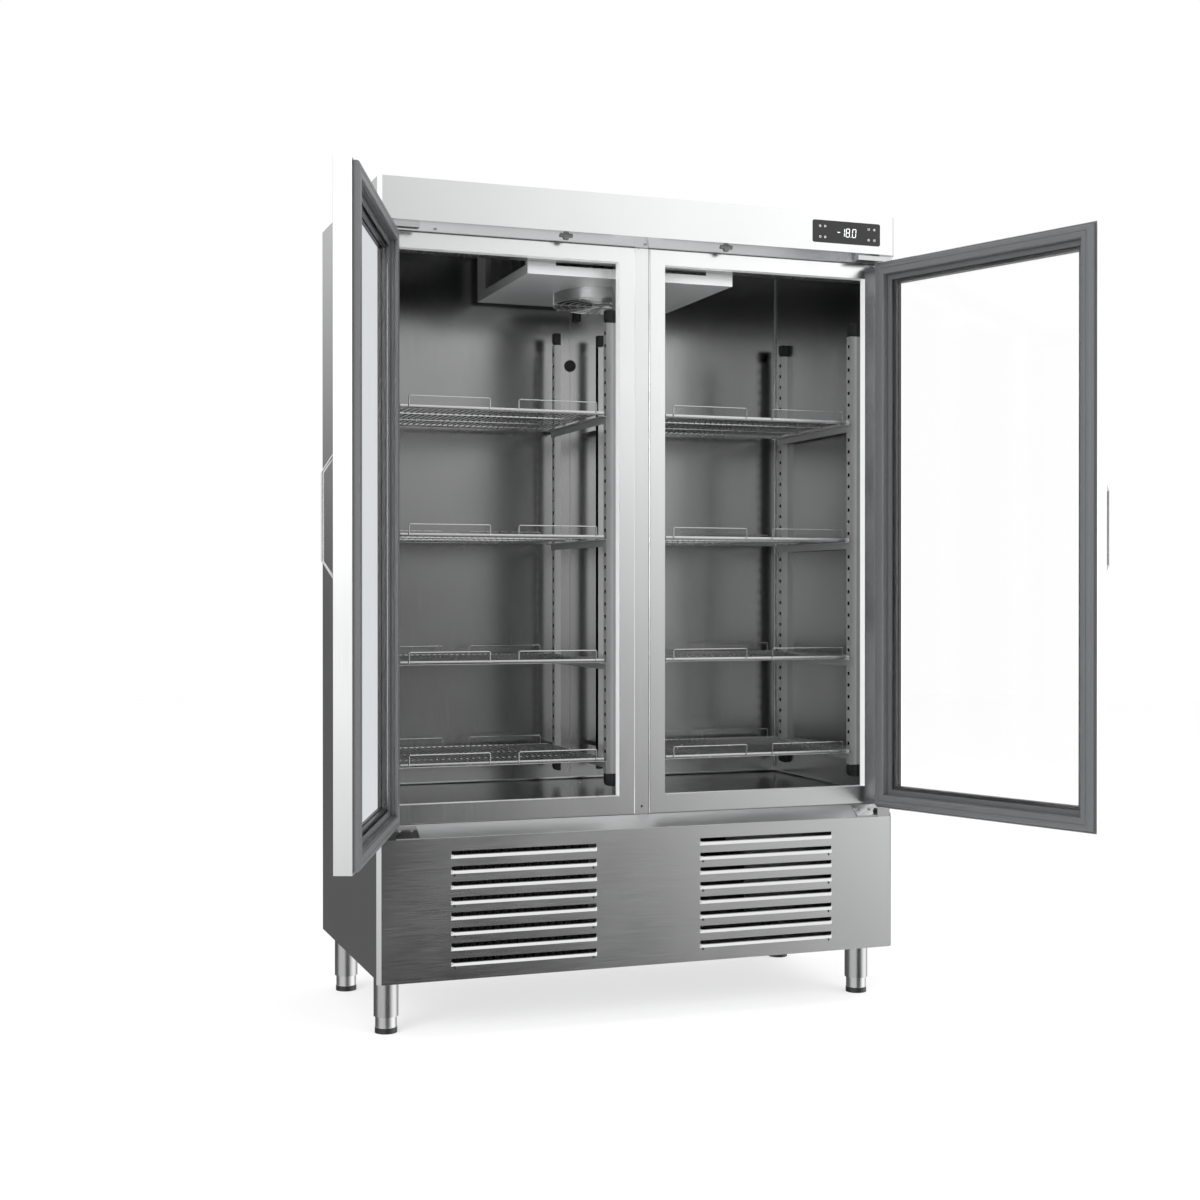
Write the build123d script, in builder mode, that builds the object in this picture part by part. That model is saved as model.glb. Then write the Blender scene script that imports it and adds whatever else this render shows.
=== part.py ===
from build123d import *
from math import atan2, cos, degrees, hypot, radians, sin, tan
import os

os.makedirs("parts", exist_ok=True)

# Two-door glass front freezer on legs, in millimetres.
# X runs to the right, Y to the rear and Z up. The doors are stored open.
# The origin is on the floor, under the middle of the cabinet with its open doors.

# Cabinet
body_width = 1388.0
body_depth = 700.0
body_height = 2067.0
front_y = -43.5
sheet = 1.5
corner_cut = 10.0
corner_tail = 2.0
side_top = body_height - 1.0
side_bottom = 151.6
seat_gap = 0.3

# Header with its sloping soffit
header_height = 101.0
header_bottom = body_height - header_height
soffit_drop = 15.0
header_return = 30.0

# Louvred lower front with the sloping sill above it
panel_set_back = 12.7
panel_bottom = 140.4
panel_top = 484.8
panel_flange = 30.0
louvre_rows = 8
louvre_pitch = 37.2
louvre_top = 452.4
louvre_middle_x = 325.95
louvre_width = 374.5
louvre_slit = 8.6
louvre_lip = 10.0
louvre_reach = 5.0
louvre_end = 6.0
louvre_edge = 1.6

# Door surrounds
frame_set_back = 59.0
frame_bottom = 514.0
frame_top = header_bottom - soffit_drop
frame_inner_x = 19.0
frame_side_margin = 15.5
frame_outer_x = body_width / 2 - frame_side_margin
frame_side_bar = 43.0
frame_top_bar = 40.0
frame_bottom_bar = 48.0
frame_edge_radius = 3.0
reveal_depth = 27.0
mullion_recess = 4.0
mullion_lap = 0.5
mullion_flange = 18.0
column_depth = 45.0

# Cold room
liner = 1.2
side_wall = 50.0
room_half_width = body_width / 2 - side_wall
back_wall = 72.0
room_back = body_depth - back_wall
room_floor = 546.0
roof_foam = 57.0
room_top = body_height - roof_foam
tray_height = 14.0
tray_radius = 8.0
drain_radius = 9.0
liner_seam = 1.0
beam_depth = 39.0
machine_room_top = 486.0
plug_radius = 16.5
plug_z = room_top - 288.4
plug_reach = 3.0
clip_size = (18.0, 12.0, 30.0)
clip_place = (20.0, room_top - 148.0)

# Shelf posts
post_width = 18.4
post_depth = 22.0
post_bottom = 613.0
post_top = room_top - 243.0
centre_post_face = 74.0
wall_post_face = room_half_width - post_width
front_post_depth = 133.0
rear_post_space = 73.0
rear_post_depth = room_back - rear_post_space
hole_width = 12.0
hole_height = 9.0
hole_pitch = 31.5
hole_margin = 25.0
hole_rows = int((post_top - post_bottom - 2 * hole_margin) / hole_pitch) + 1
cap_height = 32.5
cap_radius = 12.0
post_spacer = 12.0

# Shelves
shelf_rows = (28, 18, 8, 0)
shelf_side_gap = 10.6
shelf_front_depth = 105.0
shelf_rear_space = 52.0
shelf_rear_depth = room_back - shelf_rear_space
shelf_rail = 10.0
shelf_wire = 4.0
shelf_wire_count = 34
cross_bar_count = 2
stop_height = 24.0
stop_start = 35.3
stop_end = 245.7
runner_sheet = 1.8
runner_ledge = 17.0
runner_web = 18.0
runner_overhang = 16.0
hook_width = 8.0
hook_height = 6.0
hook_reach = 4.0

# Doors
door_open_angle = 110.0
door_meeting_gap = 13.2
door_bottom = 508.7
door_top_gap = 2.1
door_height = frame_top - door_top_gap - door_bottom
door_outer_w = -18.2
door_edge_w = 21.0
pin_side_margin = 19.4
pin_x = body_width / 2 - pin_side_margin
pin_depth = 21.9
pin_inset = 12.7
door_width = pin_x + pin_inset - door_meeting_gap / 2
pin_radius = 5.0
pin_running_gap = 0.05
pin_engagement = 30.0
bezel_width = 58.0
bezel_thickness = 4.0
door_beam = 45.0
beam_top_w = 13.0
edge_radius = 2.0
step_w = 16.9
step_width = 50.5
land_width = 37.0
land_edge = 1.8
gasket_edge = 6.0
gasket_radius = 8.0
gasket_inner_radius = 3.0
seal_gap = 0.35
glass_edge = 45.3
outer_pane = 4.0
middle_pane = 3.0
inner_pane = 4.0
first_gap = 7.6
spacer_outer = 47.0
spacer_inner = 59.0
handle_length = 255.0
handle_width = 26.0
handle_reach = 25.0
handle_rise = 39.0
handle_sheet = 2.5
handle_edge = 9.0

# Hinges and catches
hinge_inner_x = 590.0
hinge_outer_x = 688.0
hinge_front_depth = 11.0
hinge_rear_depth = 34.0
hinge_plate_rear_depth = 52.0
hinge_plate = 3.0
hinge_knuckle_start = 648.0
hinge_door_gap = 2.2
hinge_corner_radius = 6.0
screw_head_radius = 4.5
screw_head_height = 2.0
hinge_screw_x = (606.0, 636.0)
hinge_screw_depth = 37.0
soffit_screw_x = (-545.0, 0.0, 545.0)
soffit_screw_depth = 40.0
catch_x = 216.2
catch_depth = 24.0
catch_width = 33.0
catch_thickness = 9.0
catch_bar = 5.0
catch_tip_width = 10.0
catch_door_gap = 0.6

# Controller
display_x = 548.7
display_z = body_height - 51.4
display_width = 196.4
display_height = 57.9
display_corner = 5.0
display_bezel = 1.2
display_body_depth = 28.0
display_lap = 2.5

# Evaporator under the ceiling
cover_half_width = 282.0
cover_front_depth = 131.7
cover_rear_depth = 595.0
cover_drop = 128.5
cover_bottom = room_top - cover_drop
cover_border = 24.0
cover_rear_border = 75.0
cover_front_border = 18.0
fan_depth = 368.0
evaporator_fan_hole = 122.0
shroud_wall = 6.0
shroud_height = 27.0
evaporator_fan_z = cover_bottom - 13.5
guard_radius = 131.5
guard_wire = 3.0
guard_rings = 5
guard_ring_pitch = 21.0
guard_hub_radius = 26.0
guard_gap = 1.5
guard_bars = 4
guard_leg_radius = 134.8
coil_size = (500.0, 100.0, 112.0)
coil_depth = 520.0
coil_fins = 18
coil_fin_groove = 8.0
coil_groove_depth = 12.0

# Fans
blade_count = 5
blade_reach = 110.0
blade_width = 60.0
blade_pitch = 24.0
blade_sheet = 2.0
hub_radius = 30.0
hub_height = 18.0
shaft_radius = 4.0
shaft_running_gap = 0.05
motor_radius = 38.0
motor_length = 46.0
motor_gap = 4.0
motor_arm = 12.0

# Condensing unit in the base
base_sheet = 2.0
base_front_depth = 25.0
base_rim = 16.0
condenser_middle = (-325.0, 315.0)
condenser_size = (350.0, 60.0, 280.0)
condenser_front_depth = 45.0
condenser_fins = 16
condenser_fin_groove = 9.0
condenser_groove_depth = 10.0
condenser_shroud_depth = 32.0
condenser_sheet = 2.0
condenser_fan_hole = 120.0
compressor_place = (330.0, 380.0)
compressor_radius = 92.0
compressor_height = 205.0
compressor_foot = (150.0, 26.0)
compressor_plate = 3.0
compressor_dome = 26.0
compressor_mount_radius = 13.0
compressor_mount_height = 18.0

# Back
vent_columns_x = 330.0
vent_width = 360.0
vent_height = 9.0
vent_pitch = 27.0
vent_rows = 8
vent_middle_z = 330.0
gland_place = (0.0, 220.0)
gland_radius = 14.0
gland_bore = 5.0
gland_reach = 12.0

# Legs
leg_x = 646.6
leg_front_depth = 129.0
leg_rear_depth = 614.0
leg_tube_bottom = 41.0
leg_tube_radius = 30.5
leg_bore_radius = 27.1
leg_head = 5.0
foot_radius = 26.5
foot_engagement = 68.0
foot_pad_height = 14.0
foot_pad_radius = 27.5


def y_at(depth):
    """World Y of a place this far behind the header's front."""
    return front_y + depth


def front_plane(depth):
    """Sketch plane that faces the front: a negative extrusion runs to the rear."""
    return Plane.XZ.offset(-y_at(depth))


def level(z):
    return Plane.XY.offset(z)


def keep(builder, name):
    """Labels a finished sub-part and writes it as its own file."""
    builder.part.label = name
    export_step(builder.part, f"parts/{name}.step")


def soffit_z(depth):
    """Height of the header's sloping underside."""
    return header_bottom + (frame_top - header_bottom) * depth / frame_set_back


def sill_z(depth):
    """Height of the sloping sill between the lower front and the door surrounds."""
    share = (depth - panel_set_back) / (frame_set_back - panel_set_back)
    return panel_top + (frame_bottom - panel_top) * share


def box_between(x, depth, z, mode=Mode.ADD):
    """Adds a straight block, from three pairs of limits; the middle pair is depth behind the header."""
    with BuildSketch(level(z[0])) as plan:
        with Locations(((x[0] + x[1]) / 2, y_at((depth[0] + depth[1]) / 2))):
            Rectangle(x[1] - x[0], depth[1] - depth[0])
    extrude(plan.sketch, amount=z[1] - z[0], mode=mode)


def across(points, x_from, x_to, mode=Mode.ADD):
    """Extrudes a side-view outline, given as depth and height, along X."""
    with BuildSketch(Plane.YZ.offset(x_from)) as outline:
        with BuildLine():
            Polyline(*[(y_at(depth), z) for depth, z in points], close=True)
        make_face()
    extrude(outline.sketch, amount=x_to - x_from, mode=mode)


def wrapped_front(plane_depth, z_from, z_to):
    """A front sheet whose ends are folded back round chamfered corners."""
    shift = sheet * tan(radians(22.5))
    with BuildSketch(level(z_from)) as section:
        for inset, corner, mode in ((0, 0, Mode.ADD), (sheet, shift, Mode.SUBTRACT)):
            half = body_width / 2 - inset
            flat = body_width / 2 - corner_cut - corner
            tail_y = y_at(plane_depth + corner_cut + corner_tail)
            fold_y = y_at(plane_depth + corner_cut) + corner
            face_y = y_at(plane_depth) + inset
            with BuildLine():
                Polyline(
                    (-half, tail_y), (-half, fold_y), (-flat, face_y),
                    (flat, face_y), (half, fold_y), (half, tail_y), close=True,
                )
            make_face(mode=mode)
    extrude(section.sketch, amount=z_to - z_from)


# Side skins, notched where the doors turn
with BuildPart() as side_panels:
    tail = corner_cut + corner_tail
    outline = [
        (panel_set_back + tail, side_bottom),
        (panel_set_back + tail, sill_z(panel_set_back + tail)),
        (frame_set_back, frame_bottom),
        (frame_set_back, frame_top),
        (tail, soffit_z(tail)),
        (tail, side_top),
        (body_depth, side_top),
        (body_depth, side_bottom),
    ]
    for side in (-1, 1):
        outer = side * body_width / 2
        across(outline, outer, outer - side * sheet)
        limits = sorted((side * (frame_outer_x + seat_gap), outer))
        box_between(limits, (frame_set_back, frame_set_back + sheet), (frame_bottom, frame_top))
keep(side_panels, "side_panels")

with BuildPart() as roof_panel:
    half = body_width / 2 - sheet
    box_between((-half, half), (header_return, body_depth - sheet), (side_top - sheet, side_top))
keep(roof_panel, "roof_panel")

# Upper back skin, and the vented cover of the machine compartment under it
with BuildPart() as back_panels:
    back = (body_depth - sheet, body_depth)
    box_between((-half, half), back, (machine_room_top, side_top - sheet))
    box_between((-half, half), back, (side_bottom, machine_room_top - seat_gap))
    with BuildSketch(front_plane(body_depth - sheet)):
        with Locations((0, vent_middle_z)):
            with GridLocations(2 * vent_columns_x, vent_pitch, 2, vent_rows):
                Rectangle(vent_width, vent_height)
        with Locations(gland_place):
            RegularPolygon(gland_radius - gland_bore, 6)
    extrude(amount=-sheet, mode=Mode.SUBTRACT)
keep(back_panels, "back_panels")

# Clamping gland for the supply lead
with BuildPart() as cable_gland:
    with BuildSketch(front_plane(body_depth)):
        with Locations(gland_place):
            RegularPolygon(gland_radius, 6)
    extrude(amount=-gland_reach)
    with BuildSketch(front_plane(body_depth - gland_reach)):
        with Locations(gland_place):
            RegularPolygon(gland_radius - gland_bore - 2 * seat_gap, 6)
    extrude(amount=-gland_reach)
    with BuildSketch(front_plane(body_depth - gland_reach)):
        with Locations(gland_place):
            Circle(gland_bore)
    extrude(amount=-2 * gland_reach, mode=Mode.SUBTRACT)
keep(cable_gland, "cable_gland")

# Header: front, folded top and sloping soffit from one sheet
with BuildPart() as header_panel:
    wrapped_front(0, header_bottom, body_height)
    flat = body_width / 2 - corner_cut
    fold = sheet * tan(radians(22.5))
    box_between((-flat, flat), (0, header_return), (body_height - sheet, body_height))
    box_between((-half, half), (corner_cut, header_return), (body_height - sheet, body_height))
    soffit = [
        (0, header_bottom),
        (frame_set_back, frame_top),
        (frame_set_back, frame_top + sheet),
        (0, header_bottom + sheet),
    ]
    across(soffit, -flat, flat)
    soffit_back = [
        (corner_cut, soffit_z(corner_cut)),
        (frame_set_back, frame_top),
        (frame_set_back, frame_top + sheet),
        (corner_cut, soffit_z(corner_cut) + sheet),
    ]
    across(soffit_back, -half, half)
    with BuildSketch(front_plane(0)):
        with Locations((display_x, display_z)):
            Rectangle(display_width - 2 * display_lap, display_height - 2 * display_lap)
    extrude(amount=-2 * sheet, mode=Mode.SUBTRACT)
keep(header_panel, "header_panel")

with BuildPart() as display_controller:
    with BuildSketch(front_plane(-display_bezel)):
        with Locations((display_x, display_z)):
            RectangleRounded(display_width, display_height, display_corner)
    extrude(amount=-display_bezel)
    with BuildSketch(front_plane(0)):
        with Locations((display_x, display_z)):
            Rectangle(
                display_width - 2 * display_lap - 2 * seat_gap,
                display_height - 2 * display_lap - 2 * seat_gap,
            )
    extrude(amount=-display_body_depth)
keep(display_controller, "display_controller")

# One pressed louvre lip, open at its top and back, with closed sloping ends
with BuildPart() as louvre:
    with BuildSketch(Plane.XZ):
        with Locations((0, -louvre_lip / 2)):
            Rectangle(louvre_width, louvre_lip)
    with BuildSketch(Plane.XZ.offset(louvre_reach)):
        with Locations((0, -louvre_edge / 2)):
            Rectangle(louvre_width - 2 * louvre_end, louvre_edge)
    loft()
with BuildPart() as louvre_hollow:
    inner_height = louvre_lip - sheet
    with BuildSketch(Plane.XZ):
        with Locations((0, -inner_height / 2)):
            Rectangle(louvre_width - 2 * sheet, inner_height)
    with BuildSketch(Plane.XZ.offset(louvre_reach - sheet)):
        with Locations((0, -louvre_edge / 4)):
            Rectangle(louvre_width - 2 * louvre_end - sheet, louvre_edge / 2)
    loft()
louvre_shell = louvre.part - louvre_hollow.part

# Lower front with its two banks of louvres
with BuildPart() as louvred_front_panel:
    wrapped_front(panel_set_back, panel_bottom, panel_top)
    box_between(
        (-flat, flat), (panel_set_back, panel_set_back + panel_flange),
        (panel_bottom, panel_bottom + sheet),
    )
    bank_height = (louvre_rows - 1) * louvre_pitch
    slot_height = louvre_slit + louvre_lip - sheet
    with BuildSketch(front_plane(panel_set_back)):
        with Locations((0, louvre_top - bank_height / 2 - slot_height / 2)):
            with GridLocations(2 * louvre_middle_x, louvre_pitch, 2, louvre_rows):
                Rectangle(louvre_width - 2 * sheet, slot_height)
    extrude(amount=-2 * sheet, mode=Mode.SUBTRACT)
    lip_places = [
        Pos(side * louvre_middle_x, y_at(panel_set_back), louvre_top - louvre_slit - row * louvre_pitch)
        for side in (-1, 1)
        for row in range(louvre_rows)
    ]
    add([place * louvre_shell for place in lip_places])
keep(louvred_front_panel, "louvred_front_panel")

with BuildPart() as front_sill:
    corner_start = panel_set_back + tail + seat_gap
    sill = [
        (panel_set_back + sheet + seat_gap, sill_z(panel_set_back + sheet + seat_gap)),
        (frame_set_back, frame_bottom),
        (frame_set_back, frame_bottom - 2 * sheet),
        (panel_set_back + sheet + seat_gap, sill_z(panel_set_back + sheet + seat_gap) - 2 * sheet),
    ]
    sill_half = flat - corner_tail
    across(sill, -sill_half, sill_half)
    sill_back = [
        (corner_start, sill_z(corner_start)),
        (frame_set_back, frame_bottom),
        (frame_set_back, frame_bottom - 2 * sheet),
        (corner_start, sill_z(corner_start) - 2 * sheet),
    ]
    across(sill_back, -half + seat_gap, half - seat_gap)
keep(front_sill, "front_sill")


def face_frame(side):
    """Door surround: a folded sheet ring with a deep reveal round its opening."""
    outer = (frame_inner_x, frame_outer_x)
    opening = (frame_inner_x + frame_side_bar, frame_outer_x - frame_side_bar)
    height = (frame_bottom, frame_top)
    opening_z = (frame_bottom + frame_bottom_bar, frame_top - frame_top_bar)
    rings = ((outer, height, Mode.ADD), (opening, opening_z, Mode.SUBTRACT))
    hollow = (
        ((outer[0] + sheet, outer[1] - sheet), (height[0] + sheet, height[1] - sheet)),
        ((opening[0] - sheet, opening[1] + sheet), (opening_z[0] - sheet, opening_z[1] + sheet)),
    )
    with BuildPart() as frame:
        with BuildSketch(front_plane(frame_set_back)):
            for x, z, mode in rings:
                with Locations((side * (x[0] + x[1]) / 2, (z[0] + z[1]) / 2)):
                    Rectangle(x[1] - x[0], z[1] - z[0], mode=mode)
        extrude(amount=-reveal_depth)
        front_face = frame.faces().sort_by(Axis.Y)[0]
        fillet(front_face.outer_wire().edges(), frame_edge_radius)
        with BuildSketch(front_plane(frame_set_back + sheet)):
            for (x, z), mode in zip(hollow, (Mode.ADD, Mode.SUBTRACT)):
                with Locations((side * (x[0] + x[1]) / 2, (z[0] + z[1]) / 2)):
                    Rectangle(x[1] - x[0], z[1] - z[0], mode=mode)
        extrude(amount=-(reveal_depth - sheet), mode=Mode.SUBTRACT)
    return frame


keep(face_frame(-1), "left_face_frame")
keep(face_frame(1), "right_face_frame")

# Recessed strip between the door surrounds, with two folded flanges
with BuildPart() as mullion:
    strip_half = frame_inner_x - mullion_lap
    strip_front = frame_set_back + mullion_recess
    box_between((-strip_half, strip_half), (strip_front, strip_front + sheet), (frame_bottom, frame_top))
    for side in (-1, 1):
        edges = sorted((side * (strip_half - sheet), side * strip_half))
        box_between(edges, (strip_front, strip_front + mullion_flange), (frame_bottom, frame_top))
    # Hollow column behind the strip; it carries the front pair of centre posts
    column_half_width = centre_post_face - post_width
    column_front = frame_set_back + reveal_depth
    column = (room_floor + tray_height, frame_top - frame_top_bar)
    box_between(
        (-column_half_width, column_half_width), (column_front, column_front + column_depth), column,
    )
    box_between(
        (-column_half_width + sheet, column_half_width - sheet),
        (column_front + sheet, column_front + column_depth - sheet), column, Mode.SUBTRACT,
    )
keep(mullion, "mullion")

# Foam between the skins and the liner
with BuildPart() as insulation:
    reveal_back = frame_set_back + reveal_depth
    box_between(
        (-half, half), (reveal_back, body_depth - sheet), (machine_room_top, side_top - sheet),
    )
    foam_half = room_half_width + liner
    box_between(
        (-foam_half, foam_half), (reveal_back, room_back + liner),
        (room_floor, room_top + liner), Mode.SUBTRACT,
    )
keep(insulation, "insulation")

with BuildPart() as liner_side_walls:
    for side in (-1, 1):
        wall = sorted((side * room_half_width, side * (room_half_width + liner)))
        box_between(wall, (reveal_back, room_back), (room_floor, room_top))
keep(liner_side_walls, "liner_side_walls")

# Back wall in two halves, meeting in a narrow vertical seam
with BuildPart() as liner_back_wall:
    for side in (-1, 1):
        wall = sorted((side * liner_seam / 2, side * (room_half_width + liner)))
        box_between(wall, (room_back, room_back + liner), (room_floor, room_top))
keep(liner_back_wall, "liner_back_wall")

# Ceiling with the folded beam over the door openings
with BuildPart() as liner_ceiling:
    ceiling_half = room_half_width + liner
    beam_half = room_half_width - seat_gap
    beam_bottom = frame_top - frame_top_bar
    beam_back = reveal_back + beam_depth
    box_between((-ceiling_half, ceiling_half), (reveal_back, room_back + liner), (room_top, room_top + liner))
    box_between((-beam_half, beam_half), (reveal_back, beam_back), (beam_bottom, beam_bottom + liner))
    box_between((-beam_half, beam_half), (beam_back - liner, beam_back), (beam_bottom, room_top))
keep(liner_ceiling, "liner_ceiling")

# Floor pan with coved corners and a drain hole
with BuildPart() as floor_tray:
    tray_half = room_half_width - seat_gap
    tray_limits = (reveal_back + seat_gap, room_back - seat_gap)
    box_between((-tray_half, tray_half), tray_limits, (room_floor, room_floor + tray_height))
    fillet(floor_tray.faces().sort_by(Axis.Z)[0].edges(), tray_radius)
    offset(amount=-liner, openings=floor_tray.faces().sort_by(Axis.Z)[-1])
    with BuildSketch(level(room_floor)):
        with Locations((0, y_at(room_back - 90))):
            Circle(drain_radius)
    extrude(amount=2 * liner, mode=Mode.SUBTRACT)
keep(floor_tray, "floor_tray")


# Every shelf post stands as (hole face, back face) in X and its middle in depth
post_columns = [
    (side * face, side * back_x, depth)
    for side in (-1, 1)
    for face, back_x in (
        (centre_post_face, centre_post_face - post_width),
        (wall_post_face, wall_post_face + post_width),
    )
    for depth in (front_post_depth, rear_post_depth)
]
hole_heights = [post_bottom + hole_margin + row * hole_pitch for row in range(hole_rows)]

with BuildPart() as uprights:
    with BuildSketch(level(post_bottom)):
        for face, back_x, depth in post_columns:
            with Locations(((face + back_x) / 2, y_at(depth))):
                Rectangle(post_width, post_depth)
            inside = face + (sheet if back_x > face else -sheet)
            with Locations(((inside + back_x) / 2, y_at(depth))):
                Rectangle(post_width - sheet, post_depth - 2 * sheet, mode=Mode.SUBTRACT)
    extrude(amount=post_top - post_bottom)
    hole_middle = (y_at((front_post_depth + rear_post_depth) / 2), (hole_heights[0] + hole_heights[-1]) / 2)
    for face, back_x, depth in post_columns[::2]:
        with BuildSketch(Plane.YZ.offset(face)):
            with Locations(hole_middle):
                with GridLocations(rear_post_depth - front_post_depth, hole_pitch, 2, hole_rows):
                    Rectangle(hole_width, hole_height)
        extrude(amount=sheet if back_x > face else -sheet, mode=Mode.SUBTRACT, clean=False)
keep(uprights, "uprights")

# On the back wall: blanking plug, probe holder, and the stand-offs of the rear pair of centre posts
with BuildPart() as wall_fittings:
    with BuildSketch(front_plane(room_back)):
        with Locations((0, plug_z)):
            Circle(plug_radius)
    extrude(amount=plug_reach)
    with BuildSketch(front_plane(room_back)):
        with Locations(clip_place):
            RectangleRounded(clip_size[0], clip_size[2], 2)
    extrude(amount=clip_size[1])
    for side in (-1, 1):
        for row in (shelf_rows[0], shelf_rows[-1]):
            spacer_z = hole_heights[row] + hole_pitch / 3
            with BuildSketch(front_plane(room_back)):
                with Locations((side * (centre_post_face - post_width / 2), spacer_z)):
                    Rectangle(post_spacer, post_spacer)
            extrude(amount=room_back - rear_post_depth - post_depth / 2)
keep(wall_fittings, "wall_fittings")

# Black end caps of the posts, rounded on their hole side
with BuildPart() as upright_caps:
    for face, back_x, depth in post_columns:
        for seat, end in ((post_top, post_top + cap_height), (post_bottom, post_bottom - cap_height)):
            with BuildSketch(front_plane(depth - post_depth / 2)) as cap:
                with Locations(((face + back_x) / 2, (seat + end) / 2)):
                    Rectangle(post_width, cap_height)
                corner = cap.vertices().sort_by_distance((face, y_at(depth - post_depth / 2), end))[0]
                fillet(corner, cap_radius)
            extrude(amount=-post_depth)
keep(upright_caps, "upright_caps")

# Angle runners: a ledge under each shelf side, hooked into the posts
shelf_half_width = (wall_post_face - centre_post_face) / 2 - shelf_side_gap
shelf_middle_x = (wall_post_face + centre_post_face) / 2
rail_bottoms = [hole_heights[row] + hole_height / 2 + 3.5 for row in shelf_rows]
runner_limits = (
    front_post_depth - runner_overhang,
    rear_post_depth + runner_overhang,
)

runner_sides = [
    (side * face, side * inward) for side in (-1, 1) for face, inward in ((centre_post_face, 1), (wall_post_face, -1))
]

with BuildPart() as shelf_runners:
    with BuildSketch(front_plane(runner_limits[0])):
        for face, inward in runner_sides:
            web_x = face + inward * seat_gap
            for rail_bottom in rail_bottoms:
                with Locations((web_x + inward * runner_sheet / 2, rail_bottom - seat_gap - runner_web / 2)):
                    Rectangle(runner_sheet, runner_web)
                with Locations((web_x + inward * runner_ledge / 2, rail_bottom - seat_gap - runner_sheet / 2)):
                    Rectangle(runner_ledge, runner_sheet)
    extrude(amount=runner_limits[0] - runner_limits[1])
    for depth in (front_post_depth, rear_post_depth):
        with BuildSketch(front_plane(depth - hook_width / 2)):
            for face, inward in runner_sides:
                for row in shelf_rows:
                    with Locations((face + inward * (seat_gap - hook_reach) / 2, hole_heights[row])):
                        Rectangle(hook_reach + seat_gap, hook_height)
        extrude(amount=-hook_width)
keep(shelf_runners, "shelf_runners")


def shelf(rail_bottom):
    """Wire shelf: a welded grid with deep end rails, cross bars below and product stops."""
    rail_top = rail_bottom + shelf_rail
    limits_x = (-shelf_half_width, shelf_half_width)
    front = shelf_front_depth + shelf_wire
    rear = shelf_rear_depth - shelf_wire
    pitch = (2 * shelf_half_width - shelf_wire) / (shelf_wire_count - 1)
    with BuildPart() as grid:
        box_between(limits_x, (front, rear), (rail_top - shelf_wire, rail_top))
        with BuildSketch(level(rail_top)):
            with Locations((0, y_at((front + rear) / 2))):
                with GridLocations(pitch, 0, shelf_wire_count - 1, 1):
                    Rectangle(pitch - shelf_wire, rear - front - 2 * shelf_wire)
        extrude(amount=-shelf_wire, mode=Mode.SUBTRACT)
        for rail in ((front, front + shelf_wire), (rear - shelf_wire, rear)):
            box_between(limits_x, rail, (rail_bottom, rail_top))
    with BuildPart() as whole:
        add(grid.part)
        for number in range(cross_bar_count):
            bar = front + (rear - front) * (number + 1) / (cross_bar_count + 1)
            bar_top = rail_top - shelf_wire - seat_gap
            bar_limits = (bar - shelf_wire / 2, bar + shelf_wire / 2)
            box_between(limits_x, bar_limits, (bar_top - shelf_wire, bar_top))
        for plane_depth in (shelf_front_depth, rear):
            with BuildSketch(front_plane(plane_depth)):
                for stop_side in (-1, 1):
                    stop_middle = stop_side * (stop_start + stop_end) / 2
                    width = stop_end - stop_start
                    low = rail_bottom + shelf_wire
                    high = rail_top + stop_height
                    with Locations((stop_middle, (low + high) / 2)):
                        Rectangle(width, high - low)
                    with Locations((stop_middle, (low + high - shelf_wire) / 2)):
                        Rectangle(width - 2 * shelf_wire, high - low - shelf_wire, mode=Mode.SUBTRACT)
            extrude(amount=-shelf_wire)
    return whole


one_shelf = shelf(rail_bottoms[0])
for side, side_name in ((-1, "left"), (1, "right")):
    for number, rail_bottom in enumerate(rail_bottoms, start=1):
        with BuildPart() as placed_shelf:
            add(Pos(side * shelf_middle_x, 0, rail_bottom - rail_bottoms[0]) * one_shelf.part)
        keep(placed_shelf, f"{side_name}_shelf_{number}")

# Doors. A distance w is counted from the hinge axis, towards the cabinet when the door is shut.
door_middle_z = door_bottom + door_height / 2
door_centre = door_width / 2 - pin_inset
gasket_w = frame_set_back - pin_depth - seal_gap
glass_w = door_outer_w + bezel_thickness
open_turn = radians(door_open_angle)


def door_directions(side):
    """Unit vectors of an open door: from hinge to free edge, and from its outside to its inside."""
    along = Vector(-side * cos(open_turn), -sin(open_turn), 0)
    inward = Vector(-side * sin(open_turn), cos(open_turn), 0)
    return along, inward


def hinge_point(side):
    return Vector(side * pin_x, y_at(pin_depth), door_middle_z)


def door_plane(side, w):
    along, inward = door_directions(side)
    return Plane(origin=hinge_point(side) + inward * w, x_dir=along, z_dir=inward)


def door_slab(side, w, inset):
    """Adds a plain rectangle the size of the door, less an inset all round."""
    with BuildSketch(door_plane(side, w[0])) as pane:
        with Locations((door_centre, 0)):
            Rectangle(door_width - 2 * inset, door_height - 2 * inset)
    extrude(pane.sketch, amount=w[1] - w[0])


def door_ring(side, w, outer, inner):
    """Adds a picture-frame ring; outer and inner are insets from the door's edge."""
    with BuildSketch(door_plane(side, w[0])) as ring:
        with Locations((door_centre, 0)):
            Rectangle(door_width - 2 * outer, door_height - 2 * outer)
            Rectangle(door_width - 2 * inner, door_height - 2 * inner, mode=Mode.SUBTRACT)
    extrude(ring.sketch, amount=w[1] - w[0])


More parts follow.
